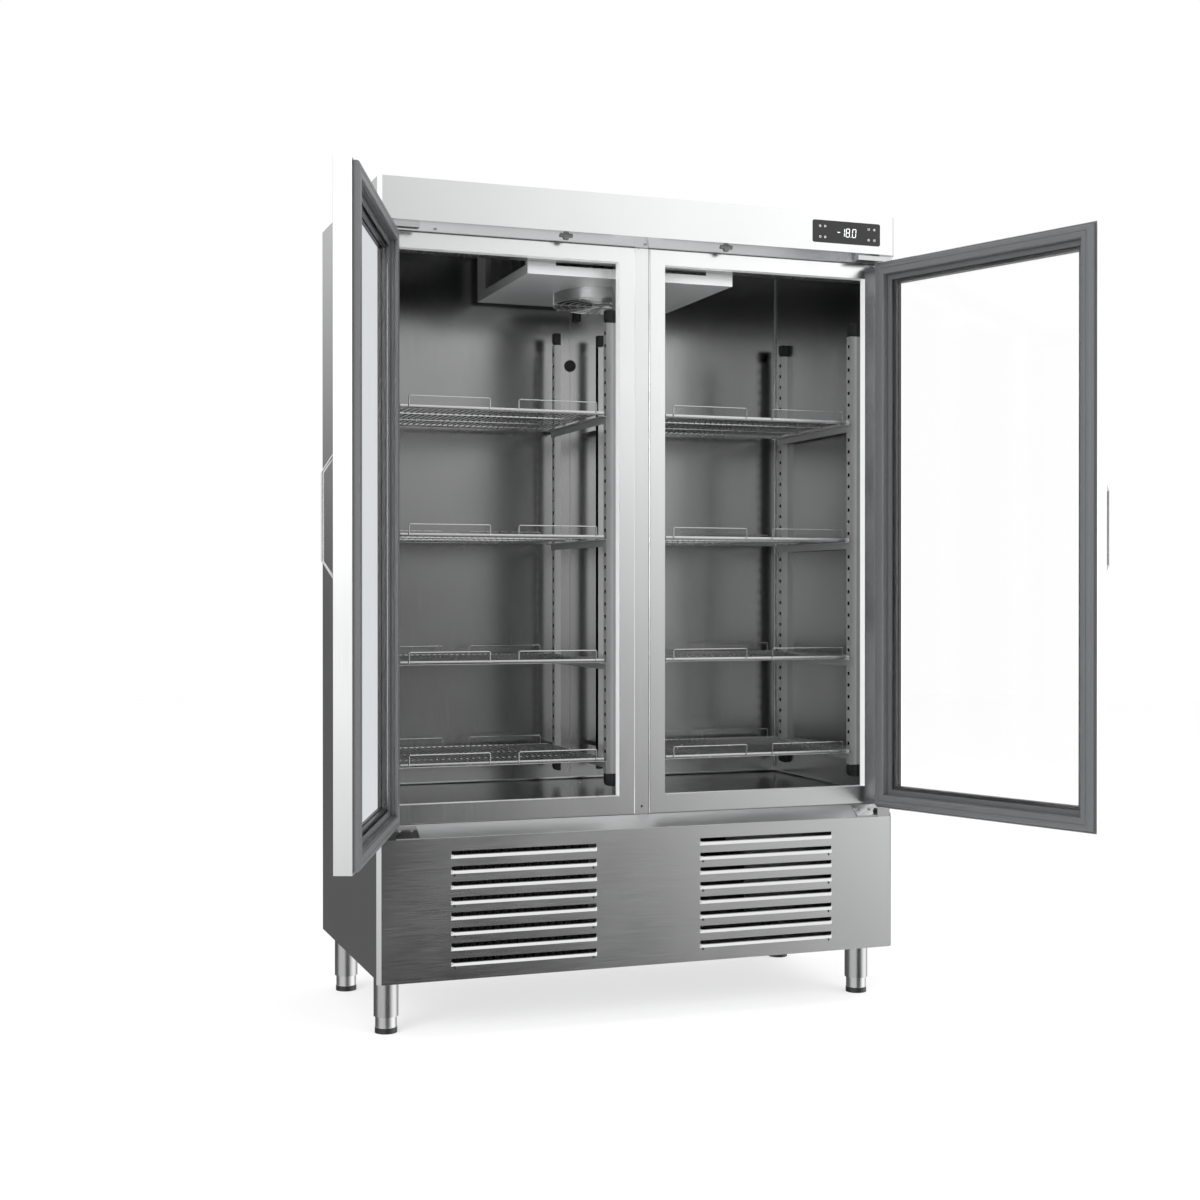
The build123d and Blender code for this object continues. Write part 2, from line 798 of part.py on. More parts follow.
def door_frame(side):
    """Steel frame: bezel over the glass edge, box beam, raised outer edge and pin sockets."""
    with BuildPart() as frame:
        door_ring(side, (door_outer_w, glass_w), 0, bezel_width)
        door_ring(side, (glass_w, beam_top_w), 0, door_beam)
        door_ring(side, (beam_top_w, door_edge_w), 0, sheet)
        inward = Axis(hinge_point(side), door_directions(side)[1])
        fillet(frame.faces().sort_by(inward)[0].outer_wire().edges(), edge_radius)
        for z, reach in ((door_bottom, pin_engagement), (door_bottom + door_height, -pin_engagement)):
            with BuildSketch(level(z)):
                with Locations((side * pin_x, y_at(pin_depth))):
                    Circle(pin_radius + pin_running_gap)
            extrude(amount=reach + seat_gap * reach / abs(reach), mode=Mode.SUBTRACT)
    return frame


second_pane_w = glass_w + outer_pane + first_gap
third_pane_w = beam_top_w - inner_pane


def door_glass(side):
    """Three panes, the outer one against the bezel and the inner one level with the beam."""
    with BuildPart() as panes:
        door_slab(side, (glass_w, glass_w + outer_pane), glass_edge)
        door_slab(side, (second_pane_w, second_pane_w + middle_pane), glass_edge)
        door_slab(side, (third_pane_w, beam_top_w), glass_edge)
    return panes


def door_spacer(side):
    """Two spacer rings that hold the panes apart."""
    with BuildPart() as rings:
        door_ring(side, (glass_w + outer_pane, second_pane_w), spacer_outer, spacer_inner)
        door_ring(side, (second_pane_w + middle_pane, third_pane_w), spacer_outer, spacer_inner)
    return rings


def door_inner_frame(side):
    """Plastic frame: a step over the glass edge and a land that carries the gasket."""
    with BuildPart() as frame:
        door_ring(side, (beam_top_w, step_w), land_edge, step_width)
        door_ring(side, (step_w, door_edge_w), land_edge, land_width)
    return frame


def door_gasket(side):
    """Magnetic gasket with a rounded outer edge that clears the surround as the door turns."""
    with BuildPart() as gasket:
        door_ring(side, (door_edge_w, gasket_w), gasket_edge, land_width)
        inward = Axis(hinge_point(side), door_directions(side)[1])
        fillet(gasket.faces().sort_by(inward)[-1].outer_wire().edges(), gasket_radius)
        inner_edges = gasket.faces().sort_by(inward)[-1].inner_wires().edges()
        fillet(inner_edges, gasket_inner_radius)
    return gasket


def door_handle(side):
    """Bow handle bent from flat steel, along the free edge."""
    along, inward = door_directions(side)
    start = door_width - pin_inset - handle_edge
    origin = hinge_point(side) + inward * door_outer_w + along * start
    half_length = handle_length / 2
    shift = handle_sheet * hypot(handle_rise, handle_reach) / handle_reach
    inner_reach = handle_reach - handle_sheet
    inner_half = half_length - shift
    inner_top = inner_half - inner_reach * handle_rise / handle_reach
    outer_top = half_length - handle_rise
    with BuildPart() as handle:
        with BuildSketch(Plane(origin=origin, x_dir=(0, 0, 1), z_dir=along * -side)):
            with BuildLine():
                Polyline(
                    (-half_length, 0), (-outer_top, handle_reach), (outer_top, handle_reach),
                    (half_length, 0), (inner_half, 0), (inner_top, inner_reach),
                    (-inner_top, inner_reach), (-inner_half, 0), close=True,
                )
            make_face()
        extrude(amount=side * handle_width)
    return handle


door_pieces = {
    "frame": door_frame,
    "glass": door_glass,
    "spacer": door_spacer,
    "inner_frame": door_inner_frame,
    "gasket": door_gasket,
    "handle": door_handle,
}
for side, side_name in ((-1, "left"), (1, "right")):
    for piece_name, make_piece in door_pieces.items():
        keep(make_piece(side), f"{side_name}_door_{piece_name}")

# Cast hinges with their pins: the lower pair rests on the sill, the upper pair hangs from the soffit
with BuildPart() as hinge_brackets:
    low_top = door_bottom - hinge_door_gap
    high_bottom = door_bottom + door_height + hinge_door_gap
    sill_plate = [
        (hinge_front_depth + 5, sill_z(hinge_front_depth + 5)),
        (hinge_plate_rear_depth, sill_z(hinge_plate_rear_depth)),
        (hinge_plate_rear_depth, sill_z(hinge_plate_rear_depth) + hinge_plate),
        (hinge_front_depth + 5, sill_z(hinge_front_depth + 5) + hinge_plate),
    ]
    low_block = [
        (panel_set_back, sill_z(panel_set_back)),
        (hinge_rear_depth, sill_z(hinge_rear_depth)),
        (hinge_rear_depth, low_top),
        (panel_set_back, low_top),
    ]
    high_block = [
        (hinge_front_depth, soffit_z(hinge_front_depth)),
        (hinge_rear_depth, soffit_z(hinge_rear_depth)),
        (hinge_rear_depth, high_bottom),
        (hinge_front_depth, high_bottom),
    ]
    for side in (-1, 1):
        across(sill_plate, side * hinge_inner_x, side * (hinge_knuckle_start + 2))
        across(low_block, side * hinge_knuckle_start, side * (body_width / 2 - corner_cut))
        across(high_block, side * hinge_inner_x, side * hinge_outer_x)
        for z, reach in ((low_top, pin_engagement), (high_bottom, -pin_engagement)):
            with BuildSketch(level(z)):
                with Locations((side * pin_x, y_at(pin_depth))):
                    Circle(pin_radius)
            extrude(amount=reach)
keep(hinge_brackets, "hinge_brackets")

# Hexagon head screws of the sill hinges and the soffit
sill_slope = degrees(atan2(frame_bottom - panel_top, frame_set_back - panel_set_back))
soffit_slope = degrees(atan2(frame_top - header_bottom, frame_set_back))
with BuildPart() as screws:
    for side in (-1, 1):
        for x in hinge_screw_x:
            seat = Plane(
                origin=(side * x, y_at(hinge_screw_depth), sill_z(hinge_screw_depth) + hinge_plate),
                x_dir=(1, 0, 0),
                z_dir=(0, -sin(radians(sill_slope)), cos(radians(sill_slope))),
            )
            with BuildSketch(seat):
                RegularPolygon(screw_head_radius, 6)
            extrude(amount=screw_head_height)
    for x in soffit_screw_x:
        seat = Plane(
            origin=(x, y_at(soffit_screw_depth), soffit_z(soffit_screw_depth)),
            x_dir=(1, 0, 0),
            z_dir=(0, sin(radians(soffit_slope)), -cos(radians(soffit_slope))),
        )
        with BuildSketch(seat):
            RegularPolygon(screw_head_radius, 6)
        extrude(amount=screw_head_height)
keep(screws, "screws")

# Door catches under the soffit: a bar with a tapered tongue
with BuildPart() as door_catches:
    tip_z = door_bottom + door_height + catch_door_gap
    bar_z = soffit_z(catch_depth - catch_thickness / 2) - catch_bar
    for side in (-1, 1):
        with BuildSketch(front_plane(catch_depth - catch_thickness / 2)):
            with Locations((side * catch_x, (bar_z + header_bottom) / 2)):
                Rectangle(catch_width, header_bottom - bar_z)
            with BuildLine():
                Polyline(
                    (side * catch_x - catch_width / 4, bar_z), (side * catch_x + catch_width / 4, bar_z),
                    (side * catch_x + catch_tip_width / 2, tip_z),
                    (side * catch_x - catch_tip_width / 2, tip_z), close=True,
                )
            make_face()
        extrude(amount=-catch_thickness)
    above_soffit = [
        (0, header_bottom), (frame_set_back, frame_top),
        (frame_set_back, header_bottom + 1), (0, header_bottom + 1),
    ]
    across(above_soffit, -flat, flat, Mode.SUBTRACT)
keep(door_catches, "door_catches")

# Evaporator cover: a folded box under the ceiling, open at its sides, with the fan's hole
with BuildPart() as evaporator_cover:
    cover_x = (-cover_half_width, cover_half_width)
    cover_y = (cover_front_depth, cover_rear_depth)
    box_between(cover_x, cover_y, (cover_bottom, room_top))
    box_between(
        (cover_x[0] + sheet, cover_x[1] - sheet), (cover_y[0] + sheet, cover_y[1] - sheet),
        (cover_bottom + sheet, room_top), Mode.SUBTRACT,
    )
    window = (cover_bottom + cover_border, room_top)
    window_y = (cover_y[0] + cover_front_border, cover_y[1] - cover_rear_border)
    box_between(cover_x, window_y, window, Mode.SUBTRACT)
    grille_x = (cover_x[0] + cover_rear_border, cover_x[1] - cover_rear_border)
    box_between(grille_x, (cover_y[0], cover_y[0] + sheet), window, Mode.SUBTRACT)
    with BuildSketch(level(cover_bottom)):
        with Locations((0, y_at(fan_depth))):
            Circle(evaporator_fan_hole)
    extrude(amount=sheet, mode=Mode.SUBTRACT)
keep(evaporator_cover, "evaporator_cover")


def finned_coil(x, depth, z, fins, groove, groove_depth, end=12.0):
    """Heat exchanger block with vertical air slots cut into its front and its end plates left whole."""
    pitch = (x[1] - x[0] - 2 * end) / fins
    with BuildPart() as coil:
        box_between(x, depth, z)
        with BuildSketch(front_plane(depth[0])):
            with Locations(((x[0] + x[1]) / 2, (z[0] + z[1]) / 2)):
                with GridLocations(pitch, 0, fins, 1):
                    Rectangle(groove, z[1] - z[0])
        extrude(amount=-groove_depth, mode=Mode.SUBTRACT)
    return coil


coil_front = coil_depth - coil_size[1] / 2
evaporator_coil = finned_coil(
    (-coil_size[0] / 2, coil_size[0] / 2),
    (coil_front, coil_front + coil_size[1]),
    (room_top - seat_gap - coil_size[2], room_top - seat_gap),
    coil_fins, coil_fin_groove, coil_groove_depth,
)
keep(evaporator_coil, "evaporator_coil")

with BuildPart() as fan_shroud:
    with BuildSketch(level(cover_bottom)):
        with Locations((0, y_at(fan_depth))):
            Circle(evaporator_fan_hole + shroud_wall)
            Circle(evaporator_fan_hole, mode=Mode.SUBTRACT)
    extrude(amount=-shroud_height)
keep(fan_shroud, "fan_shroud")

# Finger guard: flat rings on crossing arms, carried on four legs beside the shroud
with BuildPart() as fan_guard:
    guard_top = cover_bottom - shroud_height - guard_gap
    with BuildSketch(level(guard_top - guard_wire)):
        with Locations((0, y_at(fan_depth))):
            for number in range(guard_rings):
                ring = guard_radius - number * guard_ring_pitch
                Circle(ring)
                Circle(ring - guard_wire, mode=Mode.SUBTRACT)
            Circle(guard_hub_radius)
    extrude(amount=guard_wire)
    arm_top = guard_top - guard_wire - seat_gap
    with BuildSketch(level(arm_top - guard_wire)):
        with Locations((0, y_at(fan_depth))):
            with PolarLocations(0, guard_bars, angular_range=180):
                Rectangle(2 * guard_leg_radius, guard_wire)
    extrude(amount=guard_wire)
    with BuildSketch(level(arm_top - guard_wire)):
        with Locations((0, y_at(fan_depth))):
            with PolarLocations(guard_leg_radius, 4):
                Rectangle(2 * guard_wire, guard_wire)
    extrude(amount=cover_bottom - arm_top + guard_wire)
keep(fan_guard, "fan_guard")


def fan(centre, facing):
    """Axial fan: a bored hub with pitched flat blades."""
    axis = Plane(origin=centre, z_dir=facing)
    with BuildPart() as rotor:
        with BuildSketch(axis.offset(-hub_height / 2)):
            Circle(hub_radius)
        extrude(amount=hub_height)
        for number in range(blade_count):
            turn = radians(360 * number / blade_count)
            radial = axis.x_dir * cos(turn) + axis.y_dir * sin(turn)
            sideways = axis.z_dir.cross(radial)
            normal = axis.z_dir * cos(radians(blade_pitch)) + sideways * sin(radians(blade_pitch))
            start = hub_radius - 6
            with BuildSketch(Plane(origin=centre, x_dir=radial, z_dir=normal)):
                with Locations(((start + blade_reach) / 2, 0)):
                    Rectangle(blade_reach - start, blade_width)
            extrude(amount=blade_sheet / 2, both=True)
        with BuildSketch(axis.offset(-hub_height)):
            Circle(shaft_radius + shaft_running_gap)
        extrude(amount=2 * hub_height, mode=Mode.SUBTRACT)
    return rotor


def fan_motor(centre, facing, stand_off, arm_reach, arm_count):
    """Motor with its shaft through the fan's hub, and flat arms that reach its seat."""
    axis = Plane(origin=centre, z_dir=facing)
    with BuildPart() as motor:
        with BuildSketch(axis.offset(-hub_height / 2)):
            Circle(shaft_radius)
        extrude(amount=stand_off + hub_height / 2)
        with BuildSketch(axis.offset(stand_off)):
            Circle(motor_radius)
        extrude(amount=motor_length)
        with BuildSketch(axis.offset(stand_off)):
            with PolarLocations(arm_reach / 2, arm_count):
                Rectangle(arm_reach, motor_arm)
        extrude(amount=sheet)
    return motor


keep(fan((0, y_at(fan_depth), evaporator_fan_z), (0, 0, 1)), "evaporator_fan")
motor_seat = cover_bottom + sheet - evaporator_fan_z
keep(
    fan_motor(
        (0, y_at(fan_depth), evaporator_fan_z), (0, 0, 1),
        motor_seat, evaporator_fan_hole + motor_arm, 4,
    ),
    "evaporator_fan_motor",
)

# Base pan that carries the condensing unit
with BuildPart() as base_pan:
    pan_half = half - seat_gap
    pan_limits = (base_front_depth, body_depth - sheet - seat_gap)
    box_between((-pan_half, pan_half), pan_limits, (side_bottom, side_bottom + base_rim))
    box_between(
        (-pan_half + base_sheet, pan_half - base_sheet),
        (pan_limits[0] + base_sheet, pan_limits[1] - base_sheet),
        (side_bottom + base_sheet, side_bottom + base_rim), Mode.SUBTRACT,
    )
keep(base_pan, "base_pan")

pan_top = side_bottom + base_sheet
condenser_x = (condenser_middle[0] - condenser_size[0] / 2, condenser_middle[0] + condenser_size[0] / 2)
condenser_back = condenser_front_depth + condenser_size[1]
condenser_z = (pan_top, condenser_middle[1] + condenser_size[2] / 2)
condenser_coil = finned_coil(
    condenser_x, (condenser_front_depth, condenser_back), condenser_z,
    condenser_fins, condenser_fin_groove, condenser_groove_depth,
)
keep(condenser_coil, "condenser_coil")

with BuildPart() as condenser_fan_shroud:
    shroud_back = condenser_back + condenser_shroud_depth
    box_between(condenser_x, (condenser_back, shroud_back), condenser_z)
    box_between(
        (condenser_x[0] + condenser_sheet, condenser_x[1] - condenser_sheet),
        (condenser_back, shroud_back - condenser_sheet),
        (condenser_z[0] + condenser_sheet, condenser_z[1] - condenser_sheet), Mode.SUBTRACT,
    )
    with BuildSketch(front_plane(shroud_back)):
        with Locations(condenser_middle):
            Circle(condenser_fan_hole)
    extrude(amount=2 * condenser_sheet, mode=Mode.SUBTRACT)
keep(condenser_fan_shroud, "condenser_fan_shroud")

condenser_fan_depth = (condenser_back + shroud_back) / 2
condenser_centre = (condenser_middle[0], y_at(condenser_fan_depth), condenser_middle[1])
keep(fan(condenser_centre, (0, 1, 0)), "condenser_fan")
keep(
    fan_motor(
        condenser_centre, (0, 1, 0), shroud_back - condenser_fan_depth,
        condenser_fan_hole + motor_arm, 4,
    ),
    "condenser_fan_motor",
)

# Hermetic compressor: a shell with a bevelled top on a footplate and four rubber mounts
with BuildPart() as compressor:
    centre_y = y_at(compressor_place[1])
    plate_z = pan_top + compressor_mount_height
    with BuildSketch(level(plate_z)):
        with Locations((compressor_place[0], centre_y)):
            Rectangle(2 * compressor_foot[0], 2 * (compressor_radius + compressor_foot[1]))
    extrude(amount=compressor_plate)
    with BuildSketch(level(plate_z + compressor_plate)):
        with Locations((compressor_place[0], centre_y)):
            Circle(compressor_radius)
    extrude(amount=compressor_height)
    chamfer(compressor.faces().sort_by(Axis.Z)[-1].edges(), compressor_dome, 2 * compressor_dome)
    with BuildSketch(level(pan_top)):
        with Locations((compressor_place[0], centre_y)):
            with GridLocations(
                2 * (compressor_foot[0] - compressor_foot[1]), 2 * compressor_radius, 2, 2,
            ):
                Circle(compressor_mount_radius)
    extrude(amount=compressor_mount_height)
keep(compressor, "compressor")

# Legs: tubes with a thick head under the base pan, and screw feet inside them
leg_places = {
    "front_left": (-leg_x, y_at(leg_front_depth)),
    "front_right": (leg_x, y_at(leg_front_depth)),
    "rear_left": (-leg_x, y_at(leg_rear_depth)),
    "rear_right": (leg_x, y_at(leg_rear_depth)),
}
with BuildPart() as leg_tubes:
    with BuildSketch(level(leg_tube_bottom)):
        with Locations(*leg_places.values()):
            Circle(leg_tube_radius)
    extrude(amount=side_bottom - leg_tube_bottom)
    with BuildSketch(level(leg_tube_bottom)):
        with Locations(*leg_places.values()):
            Circle(leg_bore_radius)
    extrude(amount=side_bottom - leg_tube_bottom - leg_head, mode=Mode.SUBTRACT)
keep(leg_tubes, "leg_tubes")

for leg_name, place in leg_places.items():
    with BuildPart() as foot:
        with BuildSketch(level(0)):
            with Locations(place):
                Circle(foot_pad_radius)
        extrude(amount=foot_pad_height)
        with BuildSketch(level(foot_pad_height)):
            with Locations(place):
                Circle(foot_radius)
        extrude(amount=leg_tube_bottom + foot_engagement - foot_pad_height)
    keep(foot, f"foot_{leg_name}")
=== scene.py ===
import math
import bpy
import numpy as np
from mathutils import Euler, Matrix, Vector


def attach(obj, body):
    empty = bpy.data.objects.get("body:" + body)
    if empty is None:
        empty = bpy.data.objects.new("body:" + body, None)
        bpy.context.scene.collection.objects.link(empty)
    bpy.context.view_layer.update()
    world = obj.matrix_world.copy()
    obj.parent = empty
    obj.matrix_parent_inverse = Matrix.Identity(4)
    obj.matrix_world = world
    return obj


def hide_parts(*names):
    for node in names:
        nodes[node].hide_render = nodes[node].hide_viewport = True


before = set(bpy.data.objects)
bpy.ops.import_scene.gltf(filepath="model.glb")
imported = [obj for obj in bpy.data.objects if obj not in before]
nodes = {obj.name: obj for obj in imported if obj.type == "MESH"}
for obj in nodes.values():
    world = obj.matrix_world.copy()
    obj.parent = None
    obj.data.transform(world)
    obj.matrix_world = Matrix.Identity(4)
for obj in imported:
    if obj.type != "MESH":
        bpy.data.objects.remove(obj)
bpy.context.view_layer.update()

# Places of the cabinet in metres: +Z up, the doors face -Y, the header's front lies at FRONT
FRONT = -0.0435
PIN_X, PIN_Y = 0.6746, FRONT + 0.0219
DOOR_WIDTH, DOOR_HEIGHT, PIN_INSET = 0.6807, 1.4402, 0.0127
DOOR_FOOT = 0.5087
DOOR_MID_Z = DOOR_FOOT + DOOR_HEIGHT / 2
OPEN_ANGLE = math.radians(110)

# Depths in a door, from its pin towards the room: its front face, and the inner face of its outer pane
DOOR_FACE, OUTER_PANE_INSIDE = -0.0182, -0.008

# A door surround's opening, from the cabinet's middle outwards and upwards, and where its reveal begins
OPENING_X, OPENING_Z, REVEAL_Y = (0.0615, 0.6360), (0.5615, 1.9115), FRONT + 0.0595

# The hollows of the shelf posts, which take painted shade: beside the mullion and the side walls, near the
# doors and the back wall
POST_X = (0.0500, 0.0733), (0.6263, 0.6450)
POST_Y = (FRONT + 0.1228, FRONT + 0.1432), (FRONT + 0.5448, FRONT + 0.5652)

# The black pads under the feet end at this height
PAD_TOP = 0.01395


# ---------------------------------------------------------------- shader groups

def new_group(name, inputs, outputs):
    group = bpy.data.node_groups.new(name, "ShaderNodeTree")
    for socket, kind, value in inputs:
        item = group.interface.new_socket(socket, in_out="INPUT", socket_type=kind)
        item.default_value = value
    for socket, kind in outputs:
        group.interface.new_socket(socket, in_out="OUTPUT", socket_type=kind)
    return group, group.nodes.new("NodeGroupInput"), group.nodes.new("NodeGroupOutput")


def node_of(tree, kind):
    return next(node for node in tree.nodes if node.type == kind)


def math_node(tree, operation, a, b=None):
    node = tree.nodes.new("ShaderNodeMath")
    node.operation = operation
    for socket, value in zip(node.inputs, (a, b)):
        if value is None:
            continue
        if isinstance(value, (int, float)):
            socket.default_value = value
        else:
            tree.links.new(value, socket)
    return node.outputs[0]


def noise(tree, vector, scale, detail):
    node = tree.nodes.new("ShaderNodeTexNoise")
    node.inputs["Scale"].default_value = scale
    node.inputs["Detail"].default_value = detail
    tree.links.new(vector, node.inputs["Vector"])
    return node.outputs["Fac"]


def ramp(tree, value, low, high, out_low=0.0, out_high=1.0):
    """Eases from one number to another while the value goes from low to high."""
    node = tree.nodes.new("ShaderNodeMapRange")
    node.interpolation_type = "SMOOTHSTEP"
    for name, number in (("From Min", low), ("From Max", high), ("To Min", out_low), ("To Max", out_high)):
        node.inputs[name].default_value = number
    tree.links.new(value, node.inputs["Value"])
    return node.outputs["Result"]


def between(tree, value, low, high):
    """1 where a number lies between two limits, else 0."""
    above = math_node(tree, "GREATER_THAN", value, low)
    below = math_node(tree, "LESS_THAN", value, high)
    return math_node(tree, "MULTIPLY", above, below)


def axes(tree, vector):
    """The X, Y and Z of a vector."""
    split = tree.nodes.new("ShaderNodeSeparateXYZ")
    tree.links.new(vector, split.inputs[0])
    return split.outputs


def blend(tree, factor, first, second):
    """Mixes two shader nodes: the first where the factor is 0, the second where it is 1."""
    mix = tree.nodes.new("ShaderNodeMixShader")
    tree.links.new(factor, mix.inputs[0])
    tree.links.new(first.outputs[0], mix.inputs[1])
    tree.links.new(second.outputs[0], mix.inputs[2])
    return mix


def make_grain_group():
    """Brushed metal: noise stretched along the grain gives fine lines, a second one soft clouds of wear."""
    group, given, out = new_group(
        "brushed_grain",
        [("Position", "NodeSocketVector", (0, 0, 0)), ("Stretch", "NodeSocketVector", (40, 40, 900)),
         ("Depth", "NodeSocketFloat", 0.1)],
        [("Lines", "NodeSocketFloat"), ("Clouds", "NodeSocketFloat"), ("Normal", "NodeSocketVector")],
    )
    stretch = group.nodes.new("ShaderNodeVectorMath")
    stretch.operation = "MULTIPLY"
    group.links.new(given.outputs["Position"], stretch.inputs[0])
    group.links.new(given.outputs["Stretch"], stretch.inputs[1])
    lines = noise(group, stretch.outputs[0], 1.0, 3.0)
    clouds = noise(group, given.outputs["Position"], 3.2, 2.0)
    bump = group.nodes.new("ShaderNodeBump")
    bump.inputs["Distance"].default_value = 0.0004
    group.links.new(given.outputs["Depth"], bump.inputs["Strength"])
    group.links.new(lines, bump.inputs["Height"])
    group.links.new(lines, out.inputs["Lines"])
    group.links.new(clouds, out.inputs["Clouds"])
    group.links.new(bump.outputs[0], out.inputs["Normal"])
    return group


def make_speckle_group():
    """Moulded or cast skin: fine pits for the normal, and slow patches for colour and gloss."""
    group, given, out = new_group(
        "moulded_skin",
        [("Position", "NodeSocketVector", (0, 0, 0)), ("Fineness", "NodeSocketFloat", 700.0),
         ("Depth", "NodeSocketFloat", 0.1)],
        [("Pits", "NodeSocketFloat"), ("Patches", "NodeSocketFloat"), ("Normal", "NodeSocketVector")],
    )
    pits = group.nodes.new("ShaderNodeTexNoise")
    pits.inputs["Detail"].default_value = 2.0
    group.links.new(given.outputs["Position"], pits.inputs["Vector"])
    group.links.new(given.outputs["Fineness"], pits.inputs["Scale"])
    patches = noise(group, given.outputs["Position"], 9.0, 3.0)
    bump = group.nodes.new("ShaderNodeBump")
    bump.inputs["Distance"].default_value = 0.0005
    group.links.new(given.outputs["Depth"], bump.inputs["Strength"])
    group.links.new(pits.outputs["Fac"], bump.inputs["Height"])
    group.links.new(pits.outputs["Fac"], out.inputs["Pits"])
    group.links.new(patches, out.inputs["Patches"])
    group.links.new(bump.outputs[0], out.inputs["Normal"])
    return group


GRAIN = make_grain_group()
SKIN = make_speckle_group()


# ---------------------------------------------------------------- materials

def blank_material(name):
    """A new material, its node tree, its Principled shader and its Object coordinates."""
    material = bpy.data.materials.new(name)
    material.use_nodes = True
    tree = material.node_tree
    place = tree.nodes.new("ShaderNodeTexCoord").outputs["Object"]
    return material, tree, node_of(tree, "BSDF_PRINCIPLED"), place


def opened(material):
    """The node tree of a finished material, its Principled shader and its Object coordinates."""
    tree = material.node_tree
    return tree, node_of(tree, "BSDF_PRINCIPLED"), node_of(tree, "TEX_COORD").outputs["Object"]


def use_group(tree, group, place, **values):
    node = tree.nodes.new("ShaderNodeGroup")
    node.node_tree = group
    tree.links.new(place, node.inputs["Position"])
    for name, value in values.items():
        node.inputs[name].default_value = value
    return node


def shade(tree, factor, dark, light):
    """A colour between two, by a factor."""
    mix = tree.nodes.new("ShaderNodeMix")
    mix.data_type = "RGBA"
    mix.inputs["A"].default_value = (*dark, 1)
    mix.inputs["B"].default_value = (*light, 1)
    tree.links.new(factor, mix.inputs["Factor"])
    return mix.outputs["Result"]


def tint(tree, shader, mask, other):
    """Lays another colour over a shader's base colour where the mask is 1."""
    mix = tree.nodes.new("ShaderNodeMix")
    mix.data_type = "RGBA"
    mix.inputs["B"].default_value = (*other, 1)
    tree.links.new(shader.inputs["Base Color"].links[0].from_socket, mix.inputs["A"])
    tree.links.new(mask, mix.inputs["Factor"])
    tree.links.new(mix.outputs["Result"], shader.inputs["Base Color"])


def brushed(name, dark, light, rough, grain, depth=0.02):
    """Brushed metal; grain says how much finer its noise is along X, Y and Z, so the lines run along the
    smallest number."""
    material, tree, shader, place = blank_material(name)
    steel = use_group(tree, GRAIN, place, Stretch=grain, Depth=depth)
    lines = math_node(tree, "MULTIPLY", steel.outputs["Lines"], 0.5)
    both = math_node(tree, "ADD", lines, math_node(tree, "MULTIPLY", steel.outputs["Clouds"], 0.5))
    tree.links.new(shade(tree, both, dark, light), shader.inputs["Base Color"])
    tree.links.new(ramp(tree, both, 0.3, 0.7, rough - 0.05, rough + 0.05), shader.inputs["Roughness"])
    tree.links.new(steel.outputs["Normal"], shader.inputs["Normal"])
    shader.inputs["Metallic"].default_value = 1.0
    return material


def moulded(name, dark, light, rough, fineness=700.0, depth=0.12, coat=0.0):
    """Plastic, rubber, paint, casting or foam, with patches of colour and fine pits."""
    material, tree, shader, place = blank_material(name)
    skin = use_group(tree, SKIN, place, Fineness=fineness, Depth=depth)
    tree.links.new(shade(tree, skin.outputs["Patches"], dark, light), shader.inputs["Base Color"])
    gloss = ramp(tree, skin.outputs["Pits"], 0.3, 0.7, rough - 0.06, rough + 0.06)
    tree.links.new(gloss, shader.inputs["Roughness"])
    tree.links.new(skin.outputs["Normal"], shader.inputs["Normal"])
    shader.inputs["Coat Weight"].default_value = coat
    shader.inputs["Coat Roughness"].default_value = 0.08
    return material


def grey(value):
    """A steel grey, a little bluer than neutral."""
    return (value, value * 1.005, value * 1.01)


# Grains: lines that run across, up or to the back, fins side by side, and two without a direction
ACROSS = (14.0, 900.0, 900.0)
UPRIGHT = (900.0, 900.0, 10.0)
FORE_AFT = (900.0, 14.0, 900.0)
FINNED = (300.0, 30.0, 30.0)
DRAWN = (60.0, 60.0, 60.0)
SPANGLED = (9.0, 9.0, 9.0)

steel_across = brushed("steel_brushed_across", grey(0.67), grey(0.73), 0.22, ACROSS)
steel_upright = brushed("steel_brushed_upright", grey(0.67), grey(0.73), 0.22, UPRIGHT)
steel_side = brushed("side_panel_steel", grey(0.65), grey(0.71), 0.22, UPRIGHT)
door_steel = brushed("door_frame_steel", grey(0.78), grey(0.84), 0.22, UPRIGHT)
# The room's liner and ceiling are the same brushed steel as outside in a darker colour, painted shade for the
# inside of the cabinet; the ceiling is darkest
liner_steel = brushed("liner_steel", grey(0.35), grey(0.38), 0.22, UPRIGHT, depth=0.008)
ceiling_steel = brushed("ceiling_steel", grey(0.30), grey(0.35), 0.26, FORE_AFT, depth=0.01)
sill_steel = brushed("sill_steel", grey(0.58), grey(0.63), 0.38, ACROSS)
cover_steel = brushed("evaporator_cover_steel", grey(0.84), grey(0.92), 0.36, ACROSS)
galvanised = brushed("galvanised_sheet", grey(0.46), grey(0.66), 0.45, SPANGLED)
leg_steel = brushed("leg_steel", grey(0.50), grey(0.60), 0.26, UPRIGHT)
bright_steel = brushed("bright_steel", grey(0.72), grey(0.86), 0.18, FORE_AFT, depth=0.03)
wire_steel = brushed("shelf_wire_steel", grey(0.42), grey(0.50), 0.24, DRAWN)
guard_wire = brushed("guard_wire_steel", grey(0.90), grey(0.96), 0.30, DRAWN)
hinge_steel = brushed("hinge_steel", grey(0.42), grey(0.52), 0.16, FORE_AFT)
catch_steel = brushed("catch_steel", grey(0.16), grey(0.22), 0.34, FORE_AFT)
coil_metal = brushed("finned_aluminium", grey(0.50), grey(0.72), 0.42, FINNED, depth=0.05)
black_plastic = moulded("black_plastic", (0.007, 0.007, 0.008), (0.014, 0.014, 0.015), 0.50)
shroud_plastic = moulded("fan_plastic", (0.014, 0.014, 0.015), (0.030, 0.030, 0.031), 0.36)
gasket_rubber = moulded("gasket_rubber", (0.092, 0.094, 0.097), (0.104, 0.107, 0.110), 0.50, 500.0, 0.03)
